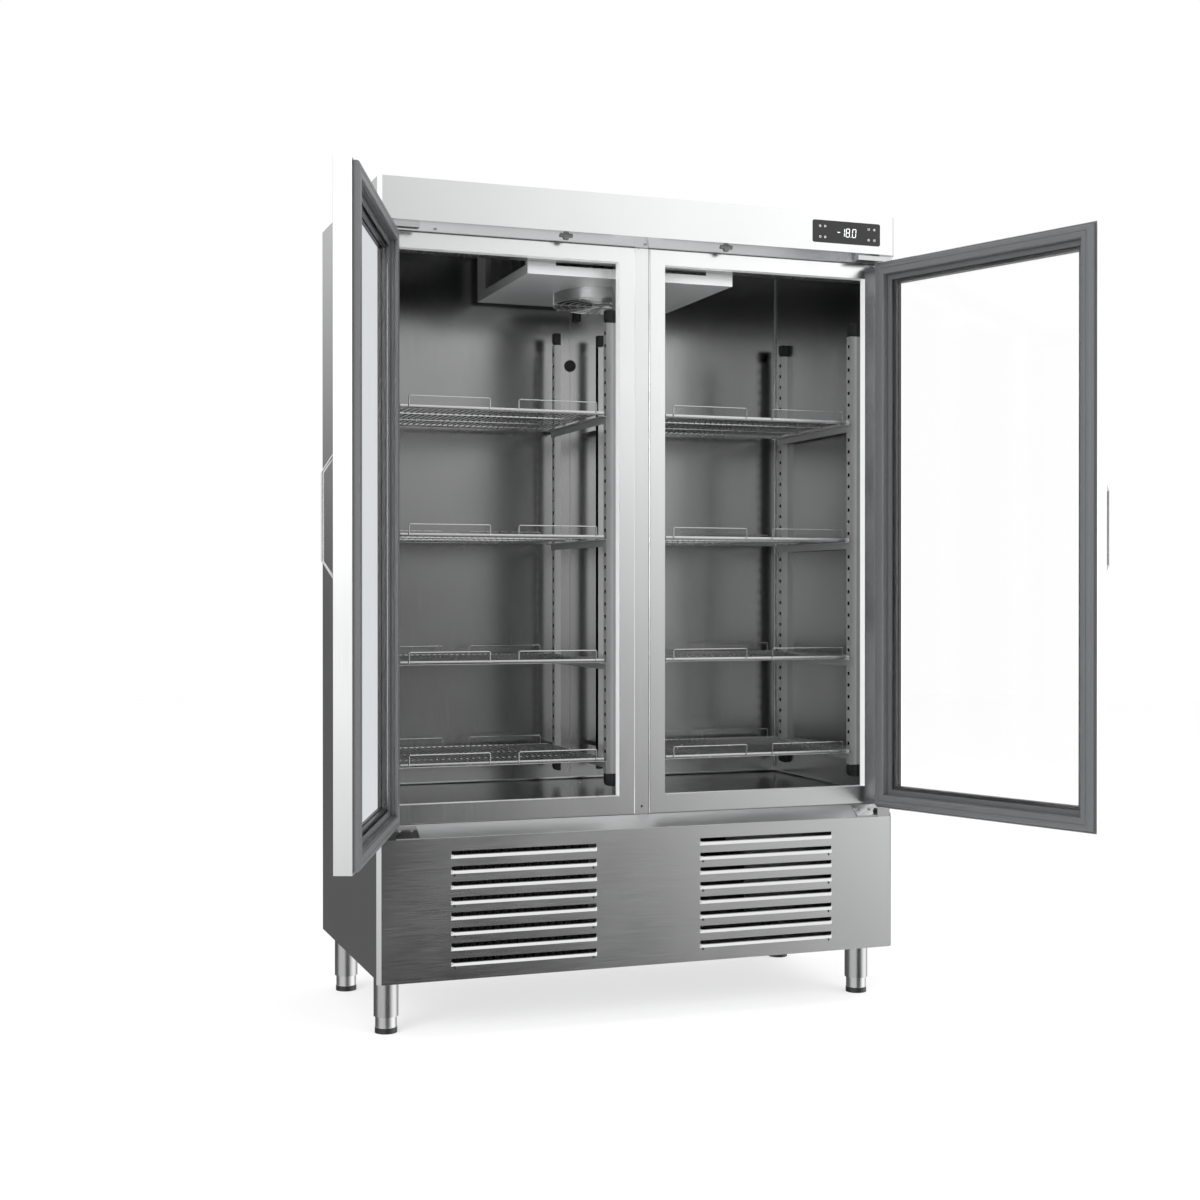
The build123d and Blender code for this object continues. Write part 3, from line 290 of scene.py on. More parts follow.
trim_plastic = moulded("inner_frame_plastic", (0.080, 0.082, 0.085), (0.092, 0.095, 0.098), 0.45, 600.0, 0.03)
spacer_metal = brushed("spacer_bar", grey(0.09), grey(0.13), 0.45, UPRIGHT)
compressor_paint = moulded("compressor_paint", (0.008, 0.008, 0.009), (0.018, 0.018, 0.019), 0.30, 300.0, 0.10,
                           coat=0.3)
motor_metal = moulded("motor_casting", (0.05, 0.05, 0.052), (0.09, 0.09, 0.093), 0.45, 400.0, 0.15)
foam = moulded("rigid_foam", (0.62, 0.55, 0.34), (0.74, 0.68, 0.46), 0.85, 250.0, 0.5)
display_plastic = moulded("display_plastic", (0.026, 0.026, 0.027), (0.034, 0.034, 0.035), 0.50, 900.0, 0.04)

# The display is matt, and the evaporator cover is part paint, so that the lamps light it too
node_of(display_plastic.node_tree, "BSDF_PRINCIPLED").inputs["Specular IOR Level"].default_value = 0.2
node_of(cover_steel.node_tree, "BSDF_PRINCIPLED").inputs["Metallic"].default_value = 0.55


def make_surround_steel():
    """Door surround: brushed steel, with a pale reveal round the opening."""
    material = brushed("surround_steel", grey(0.69), grey(0.75), 0.20, UPRIGHT, depth=0.01)
    tree, shader, place = opened(material)
    x, y, z = axes(tree, place)
    in_width = between(tree, math_node(tree, "ABSOLUTE", x), *OPENING_X)
    in_height = between(tree, z, *OPENING_Z)
    behind = math_node(tree, "GREATER_THAN", y, REVEAL_Y)
    reveal = math_node(tree, "MULTIPLY", math_node(tree, "MULTIPLY", in_width, in_height), behind)
    tint(tree, shader, reveal, (0.97, 0.97, 0.97))
    tree.links.new(math_node(tree, "SUBTRACT", 1.0, reveal), shader.inputs["Metallic"])
    return material


def make_post_steel():
    """Shelf post: dull steel outside, with painted shade, near black, in its hollow, so that the rows of holes
    read as dark.
    """
    material = brushed("post_steel", grey(0.44), grey(0.52), 0.34, UPRIGHT)
    tree, shader, place = opened(material)
    x, y = axes(tree, place)[:2]
    side = math_node(tree, "ABSOLUTE", x)
    in_width = math_node(tree, "ADD", *(between(tree, side, *limits) for limits in POST_X))
    in_depth = math_node(tree, "ADD", *(between(tree, y, *limits) for limits in POST_Y))
    # Painted shade: the inside of the post's hollow is coloured near black
    tint(tree, shader, math_node(tree, "MULTIPLY", in_width, in_depth), (0.004, 0.004, 0.004))
    shader.inputs["Metallic"].default_value = 0.7
    return material


def make_foot_steel():
    """Foot: steel above, with a black pad below."""
    material = brushed("foot_steel", grey(0.55), grey(0.74), 0.28, UPRIGHT)
    tree, shader, place = opened(material)
    pad = math_node(tree, "LESS_THAN", axes(tree, place)[2], PAD_TOP)
    tint(tree, shader, pad, (0.02, 0.02, 0.021))
    tree.links.new(math_node(tree, "SUBTRACT", 1.0, pad), shader.inputs["Metallic"])
    return material


def make_door_glass():
    """Clear panes that shadows pass through. Seen along their faces, the outer pane glows pale grey as a
    painted reflection of the room's white, and the panes behind it are a plain film."""
    material, tree, shader, place = blank_material("door_glass")
    skin = use_group(tree, SKIN, place, Fineness=40.0, Depth=0.0)
    tree.links.new(ramp(tree, skin.outputs["Patches"], 0.3, 0.8, 0.0, 0.02), shader.inputs["Roughness"])
    glass = shade(tree, skin.outputs["Patches"], (0.999, 0.999, 0.999), (1.0, 1.0, 1.0))
    tree.links.new(glass, shader.inputs["Base Color"])
    shader.inputs["Metallic"].default_value = 0.0
    shader.inputs["Transmission Weight"].default_value = 1.0
    shader.inputs["IOR"].default_value = 1.10
    clear = tree.nodes.new("ShaderNodeBsdfTransparent")
    clear.inputs["Color"].default_value = (0.97, 0.975, 0.975, 1)
    film = tree.nodes.new("ShaderNodeBsdfTransparent")
    tree.links.new(shade(tree, skin.outputs["Patches"], grey(0.955), grey(0.965)), film.inputs["Color"])
    # Painted reflection: an emission that makes the outer pane glow pale grey when seen edge-on
    painted_glow = tree.nodes.new("ShaderNodeEmission")
    tree.links.new(shade(tree, skin.outputs["Patches"], grey(0.80), grey(0.84)), painted_glow.inputs["Color"])
    x, y = axes(tree, place)[:2]
    inboard = math_node(tree, "SUBTRACT", PIN_X, math_node(tree, "ABSOLUTE", x))
    ahead = math_node(tree, "SUBTRACT", PIN_Y, y)
    depth = math_node(tree, "ADD", math_node(tree, "MULTIPLY", inboard, math.sin(OPEN_ANGLE)),
                      math_node(tree, "MULTIPLY", ahead, -math.cos(OPEN_ANGLE)))
    edge_on = blend(tree, math_node(tree, "LESS_THAN", depth, OUTER_PANE_INSIDE), film, painted_glow)
    facing = tree.nodes.new("ShaderNodeLayerWeight").outputs["Facing"]
    seen = blend(tree, ramp(tree, facing, 0.60, 0.86), shader, edge_on)
    rays = tree.nodes.new("ShaderNodeLightPath")
    either = math_node(tree, "MAXIMUM", rays.outputs["Is Shadow Ray"], rays.outputs["Is Diffuse Ray"])
    whole = blend(tree, either, seen, clear)
    tree.links.new(whole.outputs[0], node_of(tree, "OUTPUT_MATERIAL").inputs["Surface"])
    return material


def make_lit_segment():
    """The display's lit digits and marks."""
    material, tree, shader, place = blank_material("display_light")
    skin = use_group(tree, SKIN, place, Fineness=500.0, Depth=0.0)
    colour = shade(tree, skin.outputs["Patches"], (0.74, 0.75, 0.76), (0.86, 0.87, 0.88))
    tree.links.new(colour, shader.inputs["Base Color"])
    tree.links.new(colour, shader.inputs["Emission Color"])
    shader.inputs["Emission Strength"].default_value = 0.55
    shader.inputs["Roughness"].default_value = 0.5
    return material


surround_steel = make_surround_steel()
post_steel = make_post_steel()
foot_steel = make_foot_steel()
door_glass = make_door_glass()
lit_segment = make_lit_segment()

FINISHES = {
    steel_across: ["header_panel", "louvred_front_panel"],
    sill_steel: ["front_sill"],
    steel_side: ["side_panels"],
    steel_upright: ["mullion"],
    surround_steel: ["left_face_frame", "right_face_frame"],
    galvanised: ["roof_panel", "back_panels", "base_pan", "fan_shroud"],
    liner_steel: ["liner_side_walls", "liner_back_wall", "floor_tray"],
    ceiling_steel: ["liner_ceiling"],
    cover_steel: ["evaporator_cover"],
    post_steel: ["uprights", "shelf_runners"],
    wire_steel: [f"{side}_shelf_{n}" for side in ("left", "right") for n in (1, 2, 3, 4)],
    guard_wire: ["fan_guard"],
    leg_steel: ["leg_tubes"],
    foot_steel: ["foot_front_left", "foot_front_right", "foot_rear_left", "foot_rear_right"],
    black_plastic: ["upright_caps", "cable_gland", "wall_fittings"],
    shroud_plastic: ["evaporator_fan", "condenser_fan"],
    door_steel: ["left_door_frame", "right_door_frame"],
    trim_plastic: ["left_door_inner_frame", "right_door_inner_frame"],
    gasket_rubber: ["left_door_gasket", "right_door_gasket"],
    door_glass: ["left_door_glass", "right_door_glass"],
    spacer_metal: ["left_door_spacer", "right_door_spacer"],
    bright_steel: ["left_door_handle", "right_door_handle"],
    hinge_steel: ["hinge_brackets", "screws"],
    catch_steel: ["door_catches"],
    display_plastic: ["display_controller"],
    foam: ["insulation"],
    coil_metal: ["evaporator_coil"],
    motor_metal: ["evaporator_fan_motor", "condenser_fan_motor"],
    # The condenser coil and its fan shroud take the compressor's black paint: partly the black coat such
    # condensers have, partly painted shade that keeps the louvre slits dark
    compressor_paint: ["compressor", "condenser_coil", "condenser_fan_shroud"],
}
for finish, members in FINISHES.items():
    for member in members:
        for socket in nodes[member].material_slots:
            socket.material = finish


# ---------------------------------------------------------------- surfaces

def outward(points, faces):
    """Turns every face round if the closed surface's signed volume is negative."""
    volume = 0.0
    for block in faces:
        first = points[block[:, 0]]
        for k in range(1, block.shape[1] - 1):
            volume += np.einsum("ij,ij->i", first, np.cross(points[block[:, k]], points[block[:, k + 1]])).sum()
    return faces if volume > 0 else [block[:, ::-1] for block in faces]


# A surface is an array of points and a list of face blocks, each an array whose rows are faces of one size

def grid_faces(u, v, u2, v2, columns):
    """Four-sided faces between the rows u and u2 and the columns v and v2 of a grid of points."""
    corners = u * columns + v, u * columns + v2, u2 * columns + v2, u2 * columns + v
    return np.stack(np.broadcast_arrays(*corners), -1).reshape(-1, 4)


def sweep(path, flat_normal, section, closed=False):
    """Carries a section along a flat path. At each path point the section's first number is laid along the
    path plane's normal and its second along the in-plane normal, stretched where the path turns so that
    its width stays the same. Returns points and faces, with end faces where the path is open."""
    path = np.asarray(path, float)
    normal = np.asarray(flat_normal, float) / np.linalg.norm(flat_normal)
    if closed:
        before, after = path - np.roll(path, 1, 0), np.roll(path, -1, 0) - path
    else:
        steps = np.diff(path, axis=0)
        before, after = np.vstack([steps[:1], steps]), np.vstack([steps, steps[-1:]])
    before /= np.linalg.norm(before, axis=1, keepdims=True)
    after /= np.linalg.norm(after, axis=1, keepdims=True)
    along = before + after
    along /= np.linalg.norm(along, axis=1, keepdims=True)
    side = np.cross(normal, along)
    stretch = 1.0 / np.clip(np.einsum("ij,ij->i", along, after), 0.35, 1.0)
    section = np.asarray(section, float)
    points = (
        path[:, None, :]
        + normal[None, None, :] * section[None, :, 0, None]
        + side[:, None, :] * (section[None, :, 1] * stretch[:, None])[:, :, None]
    )
    rows, columns = points.shape[:2]
    u = np.arange(rows if closed else rows - 1)[:, None]
    v = np.arange(columns)[None, :]
    faces = [grid_faces(u, v, (u + 1) % rows, (v + 1) % columns, columns)]
    if not closed:
        faces.append(np.arange(columns)[None, ::-1])
        faces.append((np.arange(columns) + (rows - 1) * columns)[None, :])
    points = points.reshape(-1, 3)
    return points, outward(points, faces)


def turned(profile, centre, axis, steps):
    """Turns a profile of (radius, height) points round an axis; the first and last point lie on the axis."""
    axis = np.asarray(axis, float) / np.linalg.norm(axis)
    first = np.cross(axis, (0.0, 0.0, 1.0) if abs(axis[2]) < 0.9 else (1.0, 0.0, 0.0))
    first /= np.linalg.norm(first)
    second = np.cross(axis, first)
    angle = np.linspace(0, 2 * np.pi, steps, endpoint=False)
    radial = np.cos(angle)[:, None] * first + np.sin(angle)[:, None] * second
    profile = np.asarray(profile, float)
    inner = profile[1:-1]
    points = (
        np.asarray(centre, float)
        + radial[None, :, :] * inner[:, 0, None, None]
        + axis[None, None, :] * inner[:, 1, None, None]
    ).reshape(-1, 3)
    poles = np.asarray(centre, float) + axis * profile[[0, -1], 1][:, None]
    points = np.vstack([points, poles])
    rows = len(inner)
    u, v = np.arange(rows - 1)[:, None], np.arange(steps)[None, :]
    quads = grid_faces(u, v, u + 1, (v + 1) % steps, steps)
    ring = np.arange(steps)
    low = np.stack([np.full(steps, rows * steps), (ring + 1) % steps, ring], -1)
    last = (rows - 1) * steps
    high = np.stack([np.full(steps, rows * steps + 1), last + ring, last + (ring + 1) % steps], -1)
    return points, outward(points, [quads, low, high])


def prism(outline, start, across, up, depth):
    """Lifts a flat outline, given as (across, up) pairs, by a depth vector."""
    outline, across, up = (np.asarray(given, float) for given in (outline, across, up))
    base = np.asarray(start, float) + outline[:, :1] * across + outline[:, 1:] * up
    points = np.vstack([base, base + np.asarray(depth, float)])
    count = len(outline)
    ring = np.arange(count)
    sides = np.stack([ring, (ring + 1) % count, (ring + 1) % count + count, ring + count], -1)
    return points, outward(points, [sides, ring[None, ::-1], (ring + count)[None, :]])


def together(surfaces):
    """Joins several surfaces into one list of points and faces."""
    points, faces, offset = [], [], 0
    for part_points, part_faces in surfaces:
        points.append(part_points)
        faces.extend(block + offset for block in part_faces)
        offset += len(part_points)
    return np.vstack(points), faces


def piece(name, surfaces, material, body, replaces=(), smooth=True):
    """Makes one named piece from surfaces; it rides on a body and may stand for CAD nodes."""
    points, faces = together(surfaces)
    mesh = bpy.data.meshes.new(name)
    mesh.from_pydata(points.tolist(), [], [row.tolist() for block in faces for row in block])
    mesh.materials.append(material)
    mesh.validate()
    if smooth:
        mesh.shade_smooth()
        mesh.set_sharp_from_angle(angle=math.radians(38))
    made = bpy.data.objects.new(name, mesh)
    bpy.context.scene.collection.objects.link(made)
    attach(made, body)
    if replaces:
        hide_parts(*replaces)


def round_section(radius, sides=8):
    angle = np.linspace(0, 2 * np.pi, sides, endpoint=False)
    return np.stack([np.cos(angle), np.sin(angle)], -1) * radius


def soft_rectangle(width, height, radius, steps=3):
    """Rectangle with rounded corners, centred on 0."""
    turn = np.linspace(0, np.pi / 2, steps + 1)
    corners = [(1, 1, 0), (-1, 1, 1), (-1, -1, 2), (1, -1, 3)]
    blocks = [
        np.stack([
            sx * (width / 2 - radius) + radius * np.cos(turn + quarter * np.pi / 2),
            sy * (height / 2 - radius) + radius * np.sin(turn + quarter * np.pi / 2),
        ], -1)
        for sx, sy, quarter in corners
    ]
    return np.vstack(blocks)


def rounded_path(corners, radius, steps=5):
    """Open polyline whose inner corners are replaced by arcs of points with this radius."""
    corners = [np.asarray(c, float) for c in corners]
    path = corners[:1]
    for last, here, following in zip(corners, corners[1:], corners[2:]):
        to_last = last - here
        to_next = following - here
        to_last /= np.linalg.norm(to_last)
        to_next /= np.linalg.norm(to_next)
        half = math.acos(max(-1.0, min(1.0, float(to_last @ to_next)))) / 2
        middle = (to_last + to_next) / np.linalg.norm(to_last + to_next)
        centre = here + middle * radius / math.sin(half)
        start = here + to_last * radius / math.tan(half) - centre
        end = here + to_next * radius / math.tan(half) - centre
        total = math.acos(max(-1.0, min(1.0, float(start @ end) / radius**2)))
        for t in np.linspace(0, 1, steps + 1):
            spoke = math.sin((1 - t) * total) * start + math.sin(t * total) * end
            path.append(centre + spoke / math.sin(total))
    return np.array(path + corners[-1:])


# ---------------------------------------------------------------- shelves

SHELF_MID_X, SHELF_HALF = 0.3498, 0.2652
SHELF_FRONT, SHELF_REAR = FRONT + 0.105, FRONT + 0.576
HOLE_TOP, HOLE_PITCH = 1.7405, 0.0315
SHELF_ROWS, SHELF_ABOVE_HOLE = (7, 17, 27, 35), 0.008
WIRES, WIRE, STOP_WIRE, GAP_TO_RAIL = 34, 0.004, 0.0028, 0.001
RAIL_HEIGHT, RAIL_ROUNDING = 0.010, 0.0014
STOP_NEAR, STOP_FAR, STOP_RISE, STOP_BEND = 0.0353, 0.2457, 0.024, 0.004


def shelf_surfaces(side, row):
    """Round wires on two deep rails, cross bars below, product stops bent from wire."""
    middle = side * SHELF_MID_X
    start, end = middle - SHELF_HALF, middle + SHELF_HALF
    low = HOLE_TOP - row * HOLE_PITCH + SHELF_ABOVE_HOLE
    high = low + RAIL_HEIGHT
    radius = WIRE / 2
    wire, thin = round_section(radius), round_section(STOP_WIRE / 2)
    front, rear = SHELF_FRONT + WIRE, SHELF_REAR - WIRE
    surfaces = []
    for x in np.linspace(start + radius, end - radius, WIRES):
        ends = [(x, y, high - radius) for y in (front + GAP_TO_RAIL, rear - GAP_TO_RAIL)]
        surfaces.append(sweep(ends, (0, 0, 1), wire))
    rail = soft_rectangle(RAIL_HEIGHT, WIRE, RAIL_ROUNDING, 2)
    for y in (front + radius, rear - radius):
        middle_z = low + RAIL_HEIGHT / 2
        surfaces.append(sweep([(start, y, middle_z), (end, y, middle_z)], (0, 0, 1), rail))
    for share in (1 / 3, 2 / 3):
        y = front + (rear - front) * share
        surfaces.append(sweep([(start, y, high - 3 * radius), (end, y, high - 3 * radius)], (0, 0, 1), wire))
    for y in (SHELF_FRONT + radius, SHELF_REAR - radius):
        for stop in (-1, 1):
            near, far = middle + stop * (STOP_NEAR + radius), middle + stop * (STOP_FAR - radius)
            top, foot = high + STOP_RISE - radius, low + WIRE
            corners = [(near, y, foot), (near, y, top), (far, y, top), (far, y, foot)]
            surfaces.append(sweep(rounded_path(corners, STOP_BEND), (0, 1, 0), thin))
    return surfaces


for side, side_name in ((-1, "left"), (1, "right")):
    for number, row in enumerate(SHELF_ROWS, start=1):
        node = f"{side_name}_shelf_{number}"
        piece(f"{node}_wires", shelf_surfaces(side, row), wire_steel, node, (node,))


# ---------------------------------------------------------------- evaporator fan guard

GUARD_CENTRE = np.array((0.0, FRONT + 0.368, 0.0))
GUARD_Z, COVER_UNDERSIDE = 1.8515, 1.8813
GUARD_BARS_Z, GUARD_LEGS_Z = GUARD_Z - 0.0033, GUARD_Z - 0.0046
GUARD_RADIUS, RING_STEP, GUARD_WIRE_RADIUS = 0.130, 0.021, 0.0015
BAR_HALF, LEG_RADIUS = 0.1342, 0.1348


def guard_surfaces():
    """Five concentric wire rings and a hub disc above four crossing bars, on four wire legs."""
    wire = round_section(GUARD_WIRE_RADIUS)
    surfaces = []
    base = GUARD_CENTRE + (0, 0, GUARD_Z)
    angle = np.linspace(0, 2 * np.pi, 64, endpoint=False)
    circle = np.stack([np.cos(angle), np.sin(angle), np.zeros(64)], -1)
    for k in range(5):
        surfaces.append(sweep(base + circle * (GUARD_RADIUS - k * RING_STEP), (0, 0, 1), wire, closed=True))
    disc = [(0, -0.0014), (0.024, -0.0014), (0.026, 0.0), (0.024, 0.0014), (0, 0.0014)]
    surfaces.append(turned(disc, base, (0, 0, 1), 32))
    for k in range(4):
        turn = k * np.pi / 4
        out = np.array((math.cos(turn), math.sin(turn), 0.0))
        below = GUARD_CENTRE + (0, 0, GUARD_BARS_Z)
        surfaces.append(sweep([below - out * BAR_HALF, below + out * BAR_HALF], (0, 0, 1), wire))
    for k in range(4):
        turn = np.pi / 2 * k
        out = np.array((math.cos(turn), math.sin(turn), 0.0))
        foot = GUARD_CENTRE + out * LEG_RADIUS
        ends = [foot + (0, 0, GUARD_LEGS_Z), foot + (0, 0, COVER_UNDERSIDE)]
        surfaces.append(sweep(ends, np.cross(out, (0, 0, 1)), wire))
    return surfaces


piece("guard_wires", guard_surfaces(), guard_wire, "cabinet", ("fan_guard",))


# ---------------------------------------------------------------- doors

def door_point(side, edge, w, z):
    """Place on an open door: edge from its hinge side, w from the pin towards the room, z above its middle."""
    along = np.array((-side * math.cos(OPEN_ANGLE), -math.sin(OPEN_ANGLE), 0.0))
    inward = np.array((-side * math.sin(OPEN_ANGLE), math.cos(OPEN_ANGLE), 0.0))
    pin = np.array((side * PIN_X, PIN_Y, DOOR_MID_Z))
    return pin + along * (edge - PIN_INSET) + inward * w + np.array((0, 0, z))


def door_axes(side):
    """Directions of an open door: from its hinge side to its free edge, and towards the room."""
    origin = door_point(side, 0, 0, 0)
    return door_point(side, 1, 0, 0) - origin, door_point(side, 0, 1, 0) - origin


def gasket_surfaces(side):
    """A bellows profile carried round the door as a mitred rectangle: every profile point is an inset from the
    door's edge and a depth from the pin towards the room."""
    profile = np.array([
        (0.0062, 0.0210), (0.0062, 0.0290), (0.0070, 0.0325), (0.0092, 0.0350), (0.0122, 0.0364),
        (0.0160, 0.0366), (0.0200, 0.0366), (0.0206, 0.0356), (0.0214, 0.0356), (0.0220, 0.0366),
        (0.0310, 0.0366), (0.0345, 0.0360), (0.0362, 0.0345), (0.0368, 0.0322),
        (0.0368, 0.0284), (0.0352, 0.0276), (0.0352, 0.0262), (0.0368, 0.0254), (0.0368, 0.0210),
    ])
    signs = np.array([(0, -1), (1, -1), (1, 1), (0, 1)], float)
    edges = np.where(signs[:, :1] > 0, DOOR_WIDTH - profile[None, :, 0], profile[None, :, 0])
    heights = signs[:, 1:] * (DOOR_HEIGHT / 2 - profile[None, :, 0])
    depths = np.broadcast_to(profile[None, :, 1], edges.shape)
    along, inward = door_axes(side)
    origin = door_point(side, 0, 0, 0)
    upward = np.array((0, 0, 1.0))
    points = origin + edges[..., None] * along + depths[..., None] * inward + heights[..., None] * upward
    points = points.reshape(-1, 3)
    count = profile.shape[0]
    u, v = np.arange(4)[:, None], np.arange(count)[None, :]
    return [(points, outward(points, [grid_faces(u, v, (u + 1) % 4, (v + 1) % count, count)]))]


STRAP_WIDTH, STRAP_THICK, STRAP_ROUNDING, STRAP_BEND = 0.026, 0.0025, 0.0011, 0.007
HANDLE_INSET, HANDLE_HALF, HANDLE_RISE, HANDLE_REACH, FOOT_INSET = 0.009, 0.1275, 0.039, 0.025, 0.0023


def handle_surfaces(side):
    """A flat strap with rounded edges carried along its bow: foot, slope, grip, slope, foot."""
    edge = DOOR_WIDTH - HANDLE_INSET - STRAP_WIDTH / 2
    grip = DOOR_FACE - (HANDLE_REACH - STRAP_THICK / 2)
    corners = [
        door_point(side, edge, DOOR_FACE, -HANDLE_HALF + FOOT_INSET),
        door_point(side, edge, grip, -HANDLE_HALF + HANDLE_RISE),
        door_point(side, edge, grip, HANDLE_HALF - HANDLE_RISE),
        door_point(side, edge, DOOR_FACE, HANDLE_HALF - FOOT_INSET),
    ]
    section = soft_rectangle(STRAP_WIDTH, STRAP_THICK, STRAP_ROUNDING, 3)
    return [sweep(rounded_path(corners, STRAP_BEND, 6), door_axes(side)[0], section)]


for side, side_name in ((-1, "left"), (1, "right")):
    body = f"{side_name}_door"
    piece(f"{body}_gasket_profile", gasket_surfaces(side), gasket_rubber, body, (f"{body}_gasket",))
    piece(f"{body}_handle_strap", handle_surfaces(side), bright_steel, body, (f"{body}_handle",))


# ---------------------------------------------------------------- display

# Bars of a digit: their place in half widths and half heights, and whether they lie (h) or stand (v)
SEGMENTS = {
    "a": (0.0, 1.0, "h"), "g": (0.0, 0.0, "h"), "d": (0.0, -1.0, "h"),
    "f": (-1.0, 0.5, "v"), "b": (1.0, 0.5, "v"), "e": (-1.0, -0.5, "v"), "c": (1.0, -0.5, "v"),
}
DIGITS = {"-": "g", "1": "bc", "8": "abcdefg", "0": "abcdef"}
DIGIT_HALF_W, DIGIT_HALF_H, STROKE, BAR_GAP, LEAN = 0.0048, 0.0105, 0.0018, 0.0006, 0.08
LIT_DEPTH = 0.0002
DISPLAY_FACE = FRONT - 0.0012
READOUT_Z = 2.0155


def segment_surface(digit_x, digit_z, key):
    """One lit bar: a six-sided outline with pointed ends, leaning like the digit."""
    sx, sz, run = SEGMENTS[key]
    length = (2 * DIGIT_HALF_W if run == "h" else DIGIT_HALF_H) - BAR_GAP
    half, thick = length / 2, STROKE / 2
    bar = np.array([(-half, 0), (-half + thick, thick), (half - thick, thick), (half, 0),
                    (half - thick, -thick), (-half + thick, -thick)])
    if run == "v":
        bar = bar[:, ::-1]
    bar = bar + np.array((sx * DIGIT_HALF_W, sz * DIGIT_HALF_H))
    bar[:, 0] += bar[:, 1] * LEAN
    start = (digit_x, DISPLAY_FACE, digit_z)
    return prism(bar, start, (1, 0, 0), (0, 0, 1), (0, -LIT_DEPTH, 0))


def readout():
    """The shown temperature: -18.0."""
    surfaces = []
    for text, x in (("-", 0.5255), ("1", 0.5375), ("8", 0.5520), ("0", 0.5705)):
        surfaces += [segment_surface(x, READOUT_Z, key) for key in DIGITS[text]]
    dot = [(0, 0), (0.0010, 0), (0.0010, LIT_DEPTH), (0, LIT_DEPTH)]
    surfaces.append(turned(dot, (0.5612, DISPLAY_FACE, 2.0050), (0, -1, 0), 12))
    return surfaces


def key_marks():
    """Eight small ring marks beside the readout, in two blocks of four."""
    half, radius = 0.00035, 0.0024
    section = [(0.0, half), (-LIT_DEPTH, half), (-LIT_DEPTH, -half), (0.0, -half)]
    angle = np.linspace(0, 2 * np.pi, 20, endpoint=False)
    circle = np.stack([np.cos(angle), np.zeros(20), np.sin(angle)], -1)
    surfaces = []
    for x in (0.4716, 0.4860, 0.6130, 0.6300):
        for z in (2.0010, 2.0290):
            centre = np.array((x, DISPLAY_FACE, z))
            surfaces.append(sweep(centre + circle * radius, (0, 1, 0), section, closed=True))
    return surfaces


piece("readout_digits", readout(), lit_segment, "cabinet", smooth=False)
piece("key_marks", key_marks(), lit_segment, "cabinet", smooth=False)


# ---------------------------------------------------------------- sealant, and painted shade behind the vents

# Beads in the two back corners of the room, from the floor tray to the ceiling
CORNER_X, CORNER_Y, BEAD_RADIUS = 0.6425, FRONT + 0.6265, 0.0026
beads = [
    sweep([(side * CORNER_X, CORNER_Y, z) for z in (0.562, 2.008)], (0, 1, 0), round_section(BEAD_RADIUS, 10))
    for side in (-1, 1)
]
piece("corner_sealant", beads, post_steel, "cabinet")

# Painted shade: black sheets close behind the two vents of the lower back cover
VENT_X, VENT_Z, SHADE_SHEET_Y = 0.33, 0.33, FRONT + 0.6968
SHADE_SHEET_HALF_W, SHADE_SHEET_HALF_H, SHADE_SHEET_THICK = 0.185, 0.112, 0.0008
sheet = [(sx * SHADE_SHEET_HALF_W, sz * SHADE_SHEET_HALF_H) for sx, sz in ((-1, -1), (1, -1), (1, 1), (-1, 1))]
shade_sheets = [
    prism(sheet, (side * VENT_X, SHADE_SHEET_Y, VENT_Z), (1, 0, 0), (0, 0, 1), (0, SHADE_SHEET_THICK, 0))
    for side in (-1, 1)
]
piece("vent_shade_sheets", shade_sheets, black_plastic, "cabinet", smooth=False)


# ---------------------------------------------------------------- small fasteners

def screw_head(place, axis, radius=0.0045, height=0.002):
    """Pan head: a low dome turned from a rounded profile, with a shallow socket."""
    profile = [
        (0, height * 0.45), (radius * 0.38, height * 0.45), (radius * 0.42, height * 0.92),
        (radius * 0.72, height), (radius * 0.95, height * 0.72), (radius, height * 0.3), (radius, 0), (0, 0),
    ]
    return turned(profile, place, axis, 20)


# The sloping sill and soffit: depth behind the header's front and height, at their front and rear edges
SILL = (0.0127, 0.4848), (0.059, 0.514)
SOFFIT = (0.0, 1.966), (0.059, 1.951)


def slope_height(slope, depth):
    (near, start), (far, end) = slope
    return start + (end - start) * (depth - near) / (far - near)


def slope_angle(slope):
    (near, start), (far, end) = slope
    return math.atan2(end - start, far - near)


# Four screws on the lower hinge brackets and three in the soffit
BRACKET_THICK = 0.003
BRACKET_SCREWS_X, BRACKET_SCREWS_Y = (0.606, 0.636), 0.037
SOFFIT_SCREWS_X, SOFFIT_SCREWS_Y = (-0.545, 0.0, 0.545), 0.040
sill_angle, soffit_angle = slope_angle(SILL), slope_angle(SOFFIT)
heads = []
for side in (-1, 1):
    for x in BRACKET_SCREWS_X:
        seat = (side * x, FRONT + BRACKET_SCREWS_Y, slope_height(SILL, BRACKET_SCREWS_Y) + BRACKET_THICK)
        heads.append(screw_head(seat, (0, -math.sin(sill_angle), math.cos(sill_angle))))
for x in SOFFIT_SCREWS_X:
    seat = (x, FRONT + SOFFIT_SCREWS_Y, slope_height(SOFFIT, SOFFIT_SCREWS_Y))
    heads.append(screw_head(seat, (0, math.sin(soffit_angle), -math.cos(soffit_angle))))
piece("screw_heads", heads, hinge_steel, "cabinet", ("screws",))

